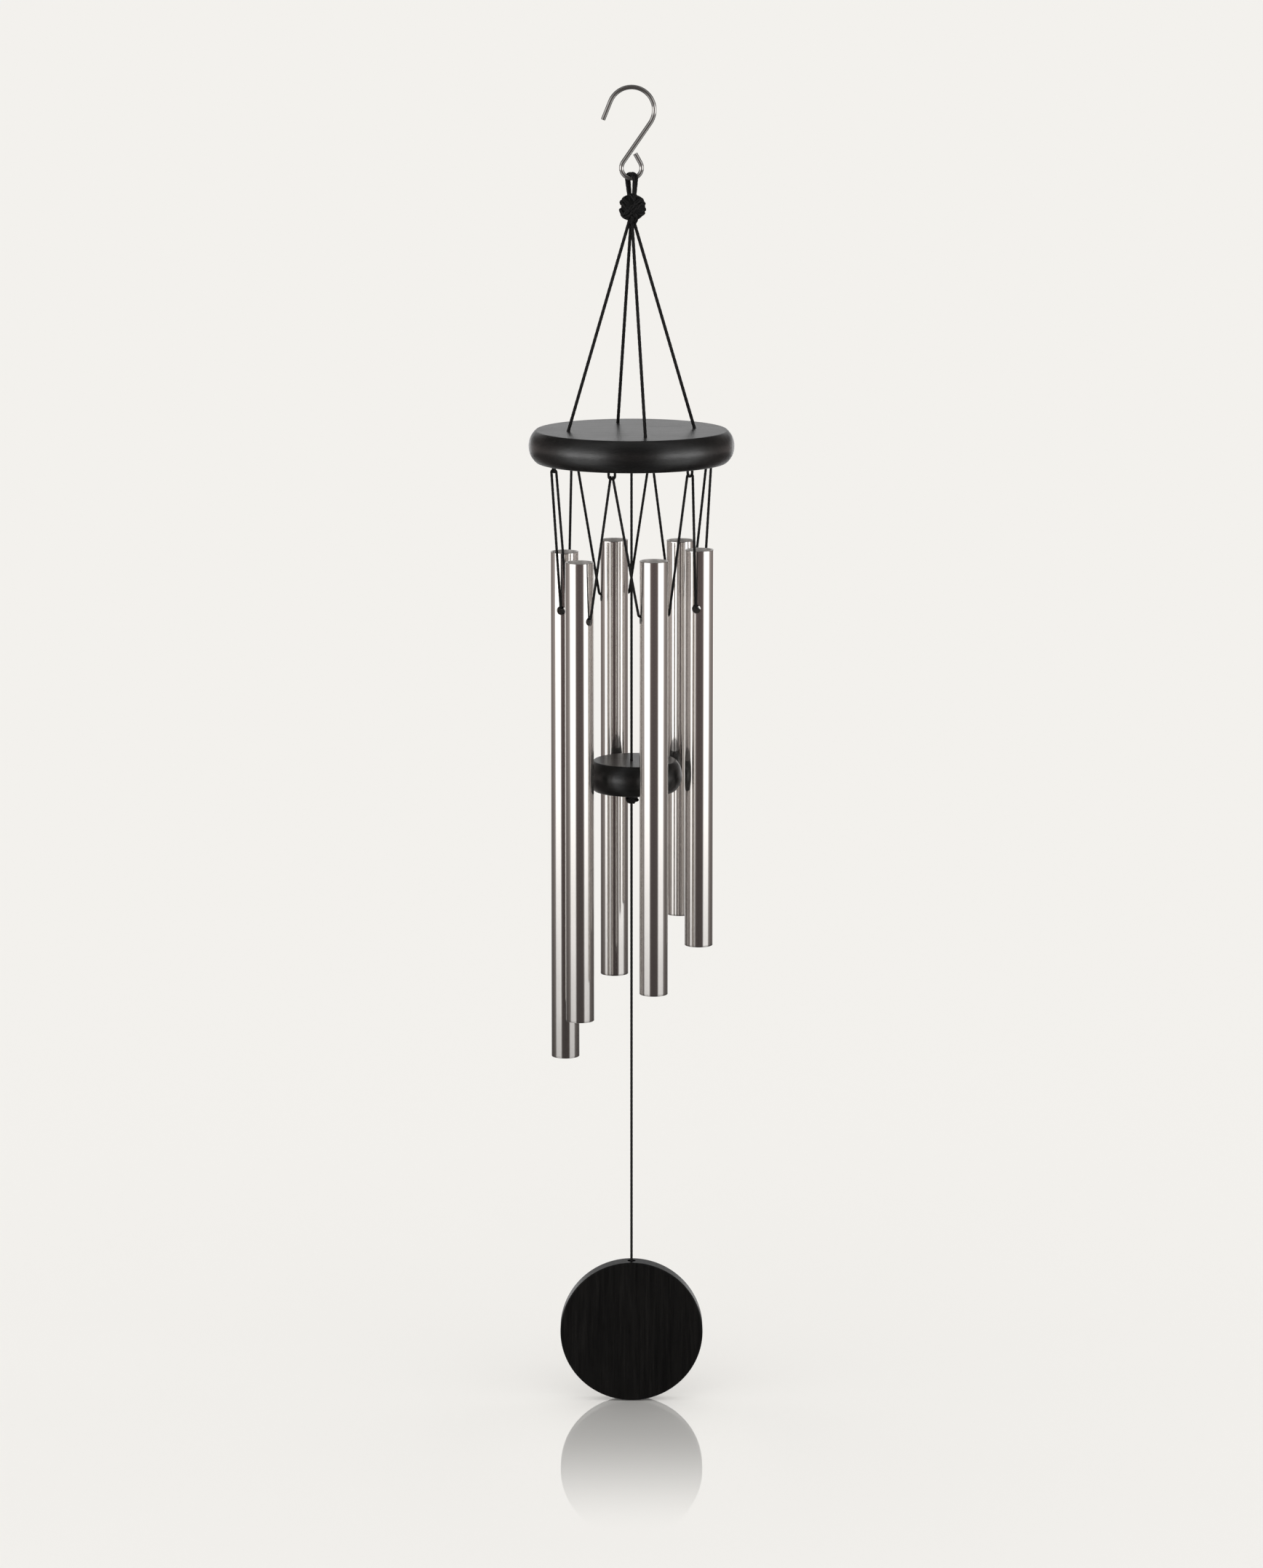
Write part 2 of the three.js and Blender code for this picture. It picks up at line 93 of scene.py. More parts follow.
class ChimeSizes(bpy.types.PropertyGroup):
    """Sizes of the chime's visible pieces"""

    wire: length("Hook wire", "Diameter of the hook's steel wire", 3)
    crown_inner: length("Crown radius", "Inner radius of the hook's crown", 13.2)
    crown_flare: angle("Tip flare", "Lean of the hook's tip away from upright", 22)
    tip: length("Tip", "Straight length of the hook's tip", 12.8)
    eye_inner: length("Eye radius", "Inner radius of the hook's eye", 5.1)
    eye_drop: length("Eye drop", "Height from the crown's centre down to the eye's centre", 37.3)
    eye_end_lean: angle("Eye end lean", "Lean of the eye's short end", 29)
    eye_end: length("Eye end", "Straight length of the eye's short end", 7)
    suspension_cord: length("Suspension cord", "Diameter of the four strands that carry the disc", 2)
    cord: length("Cord", "Diameter of the cord through the tubes, the striker and the sail", 1.6)
    hanger_width: length("Hanger width", "Distance between the two legs of a hanger loop", 4.2)
    hanger_drop: length("Hanger drop", "Depth of a hanger loop below the disc", 5.1)
    tube_wall: length("Tube wall", "Wall thickness of the tubes", 1.5)
    tube_hole: length("Tube hole", "Diameter of the cross hole in a tube", 6)
    tube_hole_drop: length("Hole drop", "Height of a tube's top above its cross hole", 38)
    disc_bulge: length("Disc bulge", "How far the top disc's side bulges past its flat faces", 5)
    striker_bulge: length("Striker bulge", "How far the striker's side bulges past its flat faces", 4.2)
    sail_edge: length("Sail edge", "Rounding of the sail's edges", 0.8)


class ChimeColours(bpy.types.PropertyGroup):
    """Colours of the chime's finishes and of the studio"""

    steel: colour("Steel", "Polished steel of the hook", "#b9b7b4")
    aluminium: colour("Aluminium", "Natural aluminium of the tubes", "#dcd8d4")
    stain: colour("Stain", "Black stain on the wood", "#0b0b0b")
    stain_worn: colour("Raised grain", "Stain where the grain stands up", "#1b1a19")
    yarn: colour("Yarn", "Crests of the cord's black yarn", "#1c1b1b")
    # Painted shade: the cord's grooves get a darker colour than its crests, standing in for the shade
    # between the yarns
    groove_painted_shade: colour("Yarn groove", "Grooves between the cord's yarns", "#060606")
    backdrop: colour("Backdrop", "Pale paper behind and below the chime", "#f3f1ed")


# Shared making: lines, sweeps, turned forms and finished pieces


def along(points, step):
    """Places points at an even step along a broken line, ends kept."""
    spans = [(b - a).length for a, b in zip(points, points[1:])]
    count = max(2, round(sum(spans) / step))
    placed = []
    span = 0
    passed = 0.0
    for i in range(count + 1):
        distance = sum(spans) * i / count
        while span < len(spans) - 1 and distance > passed + spans[span]:
            passed += spans[span]
            span += 1
        placed.append(points[span].lerp(points[span + 1], (distance - passed) / spans[span]))
    return placed


def eased(line, passes=3):
    """Rounds the kinks of a line by moving each inner point towards its neighbours."""
    for _ in range(passes):
        middle = [(a + 2 * b + c) / 4 for a, b, c in zip(line, line[1:], line[2:])]
        line = [line[0], *middle, line[-1]]
    return line


def flowing(points, step):
    """Draws a smooth curve through points, with a point at every step."""
    slopes = [points[1] - points[0]]
    slopes += [(c - a) / 2 for a, c in zip(points, points[2:])]
    slopes.append(points[-1] - points[-2])
    line = [points[0]]
    for i in range(len(points) - 1):
        a, b = points[i], points[i + 1]
        line += geometry.interpolate_bezier(a, a + slopes[i] / 3, b - slopes[i + 1] / 3, b, 12)[1:]
    return along(line, step)


def arc(centre, across, up, radius, start, end, steps):
    """Points of an arc in the plane of two directions, between two angles."""
    turns = [start + (end - start) * i / steps for i in range(steps + 1)]
    return [centre + radius * (across * math.cos(t) + up * math.sin(t)) for t in turns]


HEART_PULL = 0.04 / MM


def frames_along(line, heart=None):
    """Frames whose Z follows a line without twist, or that face a heart which the line winds round."""
    frames = []
    side = (line[1] - line[0]).orthogonal().normalized()
    for i, point in enumerate(line):
        ahead = (line[min(i + 1, len(line) - 1)] - line[max(i - 1, 0)]).normalized()
        if heart:
            side += HEART_PULL * (point - heart).cross(ahead)
        side = (side - ahead * side.dot(ahead)).normalized()
        turn = Matrix((side, ahead.cross(side), ahead)).transposed()
        frames.append(Matrix.Translation(point) @ turn.to_4x4())
    return frames


def ringed_bar(bm, steps, radius, sides):
    """Adds a straight closed bar along Z with a ring of points at every step; gives its points."""
    first = len(bm.verts)
    bmesh.ops.create_cone(
        bm,
        cap_ends=True,
        segments=sides,
        radius1=radius,
        radius2=radius,
        depth=steps,
        matrix=Matrix.Translation((0, 0, steps / 2)),
    )
    bm.verts.ensure_lookup_table()
    edges = {edge for vert in bm.verts[first:] for edge in vert.link_edges}
    lengthwise = [edge for edge in edges if edge.calc_length() > steps / 2]
    bmesh.ops.subdivide_edges(bm, edges=lengthwise, cuts=steps - 1)
    bm.verts.ensure_lookup_table()
    return bm.verts[first:]


def swept(bm, line, radius, sides):
    """Bends a round bar along a line."""
    frames = frames_along(line)
    for vert in ringed_bar(bm, len(line) - 1, radius, sides):
        ring = round(vert.co.z)
        vert.co = frames[ring] @ Vector((vert.co.x, vert.co.y, 0))


CORD_SIDES = 12
CORD_STEP = 0.36 * MM
FINE_STEP = 0.25 * MM
YARNS = 4
BRAID_PITCH = 1.9
BRAID_DEPTH = 0.14
BRAID_SINK = 0.25


def braided(bm, line, diameter):
    """Bends a cord along a line and raises the plaited yarns on it."""
    relief = bm.verts.layers.float.get("relief") or bm.verts.layers.float.new("relief")
    frames = frames_along(line)
    steps = len(line) - 1
    reach = sum((b - a).length for a, b in zip(line, line[1:]))
    for vert in ringed_bar(bm, steps, diameter / 2, CORD_SIDES):
        ring = round(vert.co.z)
        lean = 2 * math.pi * reach * ring / steps / (BRAID_PITCH * diameter)
        turn = YARNS * math.atan2(vert.co.y, vert.co.x)
        height = 0.5 + 0.5 * max(math.cos(turn + lean), math.cos(turn - lean))
        swell = 1 + BRAID_DEPTH * (height - BRAID_SINK)
        # The height also sets the cord's colour, with painted shade in the grooves
        vert[relief] = height
        vert.co = frames[ring] @ Vector((vert.co.x * swell, vert.co.y * swell, 0))


GUARD = 0.8 * MM


def guarded(profile):
    """Adds points near both ends of every long straight run, so that its shading stays straight."""
    points = [profile[0]]
    for a, b in zip(profile, profile[1:]):
        if (b - a).length > 4 * GUARD:
            ahead = GUARD * (b - a).normalized()
            points += [a + ahead, b - ahead]
        points.append(b)
    return points


def spun(bm, profile, centre, axis, steps):
    """Turns a profile, a list of points, all the way round an axis."""
    verts = [bm.verts.new(point) for point in guarded(profile)]
    edges = [bm.edges.new(pair) for pair in zip(verts, verts[1:])]
    bmesh.ops.spin(
        bm, geom=verts + edges, cent=centre, axis=axis, angle=2 * math.pi, steps=steps, use_merge=True
    )
    bmesh.ops.remove_doubles(bm, verts=bm.verts, dist=1e-6)
    bmesh.ops.recalc_face_normals(bm, faces=bm.faces)


def rod(bm, start, end, radius, sides):
    """Adds a plain closed round bar between two points, to drill with."""
    reach = end - start
    turn = reach.to_track_quat("Z", "Y").to_matrix().to_4x4()
    bmesh.ops.create_cone(
        bm,
        cap_ends=True,
        segments=sides,
        radius1=radius,
        radius2=radius,
        depth=reach.length,
        matrix=Matrix.Translation((start + end) / 2) @ turn,
    )


DRILL_SIDES = 32


def drilled(bm, drills):
    """Cuts the drills, each a start, an end and a radius, out of a bmesh."""
    rods = bmesh.new()
    for start, end, radius in drills:
        rod(rods, start, end, radius, DRILL_SIDES)
    solids = []
    for name, source in (("blank", bm), ("drills", rods)):
        mesh = bpy.data.meshes.new(name)
        source.to_mesh(mesh)
        source.free()
        solids.append(bpy.data.objects.new(name, mesh))
        bpy.context.scene.collection.objects.link(solids[-1])
    blank, cutter = solids
    cut = blank.modifiers.new("drill", "BOOLEAN")
    cut.object = cutter
    cut.operation = "DIFFERENCE"
    cut.solver = "EXACT"
    graph = bpy.context.evaluated_depsgraph_get()
    result = bmesh.new()
    result.from_object(blank, graph)
    for solid in solids:
        mesh = solid.data
        bpy.data.objects.remove(solid)
        bpy.data.meshes.remove(mesh)
    return result


SMOOTH_BELOW = math.radians(32)


def add_piece(name, bm, material, slot, body, *nodes):
    """Makes an object of a bmesh, finishes it and lets it ride on a body in place of CAD nodes."""
    for face in bm.faces:
        face.smooth = True
    for edge in bm.edges:
        edge.smooth = edge.calc_face_angle(0) < SMOOTH_BELOW
    mesh = bpy.data.meshes.new(name)
    bm.to_mesh(mesh)
    bm.free()
    mesh.materials.append(material)
    piece = bpy.data.objects.new(name, mesh)
    bpy.context.scene.collection.objects.link(piece)
    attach(piece, body)
    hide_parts(*nodes)
    return piece


# Materials


def add_node(tree, kind, inputs=None, **settings):
    """Adds a node, sets it up, and fills or links its inputs."""
    node = tree.nodes.new(kind)
    for key, value in settings.items():
        setattr(node, key, value)
    for socket, value in (inputs or {}).items():
        if isinstance(value, bpy.types.NodeSocket):
            tree.links.new(value, node.inputs[socket])
        else:
            node.inputs[socket].default_value = value
    return node


def rgba(values):
    return (*values, 1.0)


def fresh_material(name):
    """A material with an empty node tree."""
    material = bpy.data.materials.new(name)
    material.use_nodes = True
    material.node_tree.nodes.clear()
    return material, material.node_tree


def set_stops(ramp, stops):
    """Fills a colour ramp with places and colours."""
    elements = ramp.color_ramp.elements
    while len(elements) < len(stops):
        elements.new(1.0)
    for element, (place, value) in zip(elements, stops):
        element.position = place
        element.color = rgba(value)


def polished_steel(colours):
    """Bright drawn steel wire: mirror streaks with a faint drawing grain."""
    material, tree = fresh_material("polished_steel_wire")
    place = add_node(tree, "ShaderNodeTexCoord")
    # Drawing marks are a few hundredths of a millimetre; drawn at 0.6 mm so that they show
    grain = add_node(
        tree,
        "ShaderNodeTexNoise",
        {"Vector": place.outputs["Object"], "Scale": 1 / (0.6 * MM), "Detail": 2.0},
    )
    rough = add_node(
        tree,
        "ShaderNodeMapRange",
        {"Value": grain.outputs["Fac"], "To Min": 0.04, "To Max": 0.13},
    )
    surface = add_node(tree, "ShaderNodeBsdfPrincipled", {
        "Base Color": rgba(colours.steel),
        "Metallic": 0.9,
        "Roughness": rough.outputs["Result"],
    })
    add_node(tree, "ShaderNodeOutputMaterial", {"Surface": surface.outputs["BSDF"]})
    return material


def brushed_aluminium(colours):
    """Drawn, clear anodised aluminium: strips crisp round a tube, soft along it; its bore is dull."""
    material, tree = fresh_material("brushed_aluminium_tube")
    place = add_node(tree, "ShaderNodeTexCoord")
    # Brush lines are near 0.05 mm; drawn at 0.35 mm across and 60 mm along so that they show
    stretch = add_node(
        tree,
        "ShaderNodeMapping",
        {"Vector": place.outputs["Object"], "Scale": (1 / (0.35 * MM), 1 / (0.35 * MM), 1 / (60 * MM))},
    )
    lines = add_node(
        tree,
        "ShaderNodeTexNoise",
        {"Vector": stretch.outputs["Vector"], "Scale": 1.0, "Detail": 3.0, "Roughness": 0.6},
    )
    # Patches a few centimetres long where the brush bit harder
    patches = add_node(
        tree,
        "ShaderNodeTexNoise",
        {"Vector": place.outputs["Object"], "Scale": 1 / (30 * MM), "Detail": 2.0},
    )
    bite = add_node(
        tree,
        "ShaderNodeMath",
        {0: lines.outputs["Fac"], 1: patches.outputs["Fac"]},
        operation="MULTIPLY",
    )
    rough = add_node(
        tree,
        "ShaderNodeMapRange",
        {"Value": bite.outputs["Value"], "From Max": 0.5, "To Min": 0.06, "To Max": 0.11},
    )
    bore = add_node(tree, "ShaderNodeAttribute", attribute_name="bore")
    metal = add_node(
        tree,
        "ShaderNodeMapRange",
        {"Value": bore.outputs["Fac"], "To Min": 0.95, "To Max": 0.4},
    )
    dull = add_node(
        tree,
        "ShaderNodeMath",
        {0: bore.outputs["Fac"], 1: 0.35, 2: rough.outputs["Result"]},
        operation="MULTIPLY_ADD",
    )
    lengthwise = add_node(
        tree,
        "ShaderNodeVectorTransform",
        {"Vector": UP},
        vector_type="VECTOR",
        convert_from="OBJECT",
        convert_to="WORLD",
    )
    surface = add_node(tree, "ShaderNodeBsdfPrincipled", {
        "Base Color": rgba(colours.aluminium),
        "Metallic": metal.outputs["Result"],
        "Roughness": dull.outputs["Value"],
        "Anisotropic": 0.95,
        "Tangent": lengthwise.outputs["Vector"],
    })
    add_node(tree, "ShaderNodeOutputMaterial", {"Surface": surface.outputs["BSDF"]})
    return material


def stained_wood(colours, name, grain_turn, shine):
    """Open-grained hardwood stained black under satin lacquer: fine pores and soft broad highlights."""
    material, tree = fresh_material(name)
    place = add_node(tree, "ShaderNodeTexCoord")
    turned = add_node(
        tree,
        "ShaderNodeMapping",
        {"Vector": place.outputs["Object"], "Rotation": grain_turn},
    )
    # Noise drawn out along the grain, which is the turned X axis: pores 0.7 mm wide,
    # growth rings 2.5 mm apart, and a figure of 9 mm bands where the lacquer sinks in more or less
    layers = [
        (15 * MM, 0.7 * MM, {"Detail": 4.0, "Roughness": 0.65, "Distortion": 0.4}),
        (60 * MM, 2.5 * MM, {"Detail": 2.0, "Distortion": 0.8}),
        (70 * MM, 9 * MM, {"Detail": 3.0, "Distortion": 0.5}),
    ]
    noises = []
    for long, wide, look in layers:
        stretch = add_node(
            tree,
            "ShaderNodeMapping",
            {"Vector": turned.outputs["Vector"], "Scale": (1 / long, 1 / wide, 1 / wide)},
        )
        noise = add_node(
            tree,
            "ShaderNodeTexNoise",
            {"Vector": stretch.outputs["Vector"], "Scale": 1.0, **look},
        )
        noises.append(noise.outputs["Fac"])
    pores, rings, figure = noises
    grain = add_node(tree, "ShaderNodeMath", {0: pores, 1: rings}, operation="MULTIPLY")
    lacquer = add_node(
        tree,
        "ShaderNodeMapRange",
        {
            "Value": figure,
            "From Min": 0.3,
            "From Max": 0.7,
            "To Min": 0.48 * shine,
            "To Max": 0.76 * shine,
        },
    )
    shade = add_node(tree, "ShaderNodeValToRGB", {"Fac": grain.outputs["Value"]})
    set_stops(shade, [(0.12, colours.stain), (0.42, colours.stain_worn)])
    rough = add_node(
        tree,
        "ShaderNodeMapRange",
        {"Value": grain.outputs["Value"], "From Max": 0.5, "To Min": 0.41, "To Max": 0.32},
    )
    bump = add_node(
        tree,
        "ShaderNodeBump",
        {"Height": grain.outputs["Value"], "Strength": 0.6, "Distance": 0.2 * MM},
    )
    surface = add_node(tree, "ShaderNodeBsdfPrincipled", {
        "Base Color": shade.outputs["Color"],
        "Roughness": rough.outputs["Result"],
        "Normal": bump.outputs["Normal"],
        "Specular IOR Level": 0.62 * shine,
        "Coat Weight": lacquer.outputs["Result"],
        "Coat Roughness": 0.27,
        "Coat IOR": 1.58,
        "Coat Normal": bump.outputs["Normal"],
    })
    add_node(tree, "ShaderNodeOutputMaterial", {"Surface": surface.outputs["BSDF"]})
    return material


def braided_nylon(colours):
    """Black braided nylon cord: dull crests of yarn over grooves darkened with painted shade, with
    hardly any shine.
    """
    material, tree = fresh_material("braided_nylon_cord")
    relief = add_node(tree, "ShaderNodeAttribute", attribute_name="relief")
    shade = add_node(tree, "ShaderNodeValToRGB", {"Fac": relief.outputs["Fac"]})
    # Painted shade: the colour darkens towards low relief, in the grooves between the yarns
    set_stops(shade, [(0.35, colours.groove_painted_shade), (0.95, colours.yarn)])
    place = add_node(tree, "ShaderNodeTexCoord")
    # Single filaments are far too fine to show; drawn at 0.15 mm
    fibres = add_node(
        tree,
        "ShaderNodeTexNoise",
        {"Vector": place.outputs["Object"], "Scale": 1 / (0.15 * MM), "Detail": 1.0},
    )
    bump = add_node(
        tree,
        "ShaderNodeBump",
        {"Height": fibres.outputs["Fac"], "Strength": 0.4, "Distance": 0.05 * MM},
    )
    surface = add_node(tree, "ShaderNodeBsdfPrincipled", {
        "Base Color": shade.outputs["Color"],
        "Roughness": 0.68,
        "Normal": bump.outputs["Normal"],
        "Specular IOR Level": 0.3,
    })
    add_node(tree, "ShaderNodeOutputMaterial", {"Surface": surface.outputs["BSDF"]})
    return material


FLOOR_GLOSS = 0.5


def paper_floor(colours):
    """Pale smooth paper, glossy at a slant just in front of the sail, where it mirrors it."""
    material, tree = fresh_material("pale_paper")
    place = add_node(tree, "ShaderNodeTexCoord")
    split = add_node(tree, "ShaderNodeSeparateXYZ", {"Vector": place.outputs["Object"]})
    aside = add_node(tree, "ShaderNodeMath", {0: split.outputs["X"]}, operation="ABSOLUTE")
    slant = add_node(tree, "ShaderNodeLayerWeight", {"Blend": 0.5})
    # The gloss fades out 290 mm in front of the sail, 100 mm behind it and 120 mm beside it,
    # and where the paper is seen from above or along its surface
    fades = [
        (split.outputs["Y"], -290 * MM, -60 * MM, 0.0, 1.0),
        (split.outputs["Y"], -50 * MM, 100 * MM, 1.0, 0.0),
        (aside.outputs["Value"], 55 * MM, 120 * MM, 1.0, 0.0),
        (slant.outputs["Facing"], 0.58, 0.66, 0.0, 1.0),
        (slant.outputs["Facing"], 0.73, 0.79, 1.0, 0.0),
    ]
    gloss = FLOOR_GLOSS
    for source, start, end, first, last in fades:
        fade = add_node(
            tree,
            "ShaderNodeMapRange",
            {"Value": source, "From Min": start, "From Max": end, "To Min": first, "To Max": last},
            interpolation_type="SMOOTHSTEP",
        )
        product = add_node(
            tree,
            "ShaderNodeMath",
            {0: fade.outputs["Result"], 1: gloss},
            operation="MULTIPLY",
        )
        gloss = product.outputs["Value"]
    paper = add_node(tree, "ShaderNodeBsdfDiffuse", {"Color": rgba(colours.backdrop)})
    mirror = add_node(
        tree,
        "ShaderNodeBsdfGlossy",
        {"Color": rgba(colours.backdrop), "Roughness": 0.03},
    )
    mixed = add_node(
        tree,
        "ShaderNodeMixShader",
        {0: gloss, 1: paper.outputs["BSDF"], 2: mirror.outputs["BSDF"]},
    )
    add_node(tree, "ShaderNodeOutputMaterial", {"Surface": mixed.outputs["Shader"]})
    return material


def material_for(name, make, *settings):
    """Gives a material that is already made, or makes it."""
    return bpy.data.materials.get(name) or make(bpy.context.scene.chime_colours, *settings)


def steel():
    return material_for("polished_steel_wire", polished_steel)


def aluminium():
    return material_for("brushed_aluminium_tube", brushed_aluminium)


def wood(name, grain_turn, shine):
    return material_for(name, stained_wood, name, grain_turn, shine)


def disc_wood():
    return wood("satin_black_stained_wood", (0, 0, 0), 1.0)


def striker_wood():
    return wood("dull_black_stained_wood", (0, 0, 0), 0.75)


def sail_wood():
    return wood("matt_black_stained_wood", (0, math.radians(90), 0), 0.2)


def nylon():
    return material_for("braided_nylon_cord", braided_nylon)


# Places that several pieces share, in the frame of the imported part


def top_of(node):
    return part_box(node)[1][2]


def bottom_of(node):
    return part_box(node)[0][2]


def middle_of(node):
    low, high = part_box(node)
    return (Vector(low) + Vector(high)) / 2


def radius_of(node):
    low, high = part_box(node)
    return (high[0] - low[0]) / 2


def towards(degrees):
    turn = math.radians(degrees)
    return Vector((math.cos(turn), math.sin(turn), 0))


FIRST_TUBE_DEG = 166
FIRST_STRAND_DEG = 12.3
STRAND_RING = 42.1 * MM
TUBE_RING = 45.5 * MM
HALF_STEP_DEG = 180 / TUBE_COUNT
HANGER_RING = TUBE_RING / math.cos(math.radians(HALF_STEP_DEG))
CORD_GAP = 0.35 * MM
# How far a cord's end reaches into the piece that holds it, and a drill past the face it leaves by
CORD_TUCK = 1 * MM
DRILL_PAST = 1 * MM


def eye_wire_z(sizes):
    return -sizes.crown_inner - sizes.eye_drop - sizes.eye_inner - sizes.wire / 2


def tube_deg(number):
    return FIRST_TUBE_DEG + 2 * HALF_STEP_DEG * (number - 1)


def strand_way(number):
    """Direction from the middle towards a strand's hole."""
    return towards(FIRST_STRAND_DEG + 360 / STRAND_COUNT * (number - 1))


def add_cord(name, line, diameter, body, node):
    """Braids a cord along a line and lets it ride on a body."""
    bm = bmesh.new()
    braided(bm, line, diameter)
    return add_piece(name, bm, nylon(), "black_cord", body, node)


# Studio light


STUDIO_STRENGTH = 2.4
CEILING = 0.03
CEILING_FROM_DEG = 35
CEILING_FULL_DEG = 60
# Turn from the front at which the heights behind begin to show, and at which they have taken over
BACK_FROM_DEG = 130
BACK_FULL_DEG = 155
# Brightness round the studio, by degrees from the front: minus is left, 180 is behind the chime
STUDIO_WALLS = [
    (-180, 0.7),
    (-165, 0.7),
    (-155, 0.32),
    (-148, 0.15),
    (-128, 0.1),
    (-116, 0.1),
    (-104, 0.14),
    (-90, 0.19),
    (-83, 0.4),
    (-77, 1.0),
    (-37, 1.0),
    (-31, 0.4),
    (-27, 0.12),
    (-23, 0.055),
    (0, 0.034),
    (26, 0.05),
    (31, 0.12),
    (35, 0.4),
    (41, 1.0),
    (79, 1.0),
    (85, 0.4),
    (92, 0.19),
    (104, 0.14),
    (116, 0.1),
    (128, 0.1),
    (148, 0.15),
    (155, 0.32),
    (165, 0.7),
    (180, 0.7),
]
# Share of that brightness by degrees above level, at the sides: pale floor, dark skirting,
# white panels, and a band that the floor mirrors as white
SIDE_HEIGHTS = [
    (-90, 0.05),
    (-48, 0.07),
    (-40, 0.28),
    (-18, 0.28),
    (-15.5, 0.08),
    (-13.3, 0.16),
    (-12.3, 0.35),
    (-11.1, 0.6),
    (-9, 1.0),
    (3, 1.0),
    (7, 0.45),
    (11, 0.25),
    (14.5, 0.417),
    (20, 0.417),
    (26, 0.15),
    (45, 0.1),
    (90, 0.08),
]
# The same behind the chime: a lower wall, and above it the white that the floor mirrors
BACK_HEIGHTS = [
    (-90, 0.05),
    (-50, 0.1),
    (-42, 0.35),
    (-18, 0.35),
    (-15.5, 0.1),
    (-13.3, 0.2),
    (-9, 1.0),
    (-3, 1.0),
    (3, 0.26),
    (12, 0.2),
    (14.5, 0.596),
    (20, 0.596),
    (24, 0.12),
    (90, 0.08),
]


def warm_grey(brightness):
    """White stays neutral; shade in the studio is a little warm, and its darkest places more so."""
    if brightness > 0.3:
        return (brightness, brightness, brightness)
    if brightness > 0.07:
        return (brightness, 0.88 * brightness, 0.84 * brightness)
    return (brightness, 0.74 * brightness, 0.72 * brightness)


def wall_stops():
    return [(0.5 + degrees / 360, warm_grey(share)) for degrees, share in STUDIO_WALLS]


def height_stops(heights):
    return [(0.5 + 0.5 * math.sin(math.radians(degrees)), (share,) * 3) for degrees, share in heights]


# Sockets of a mix node that mixes colours
MIX_FIRST = 6
MIX_SECOND = 7
MIX_RESULT = 2


# Operators


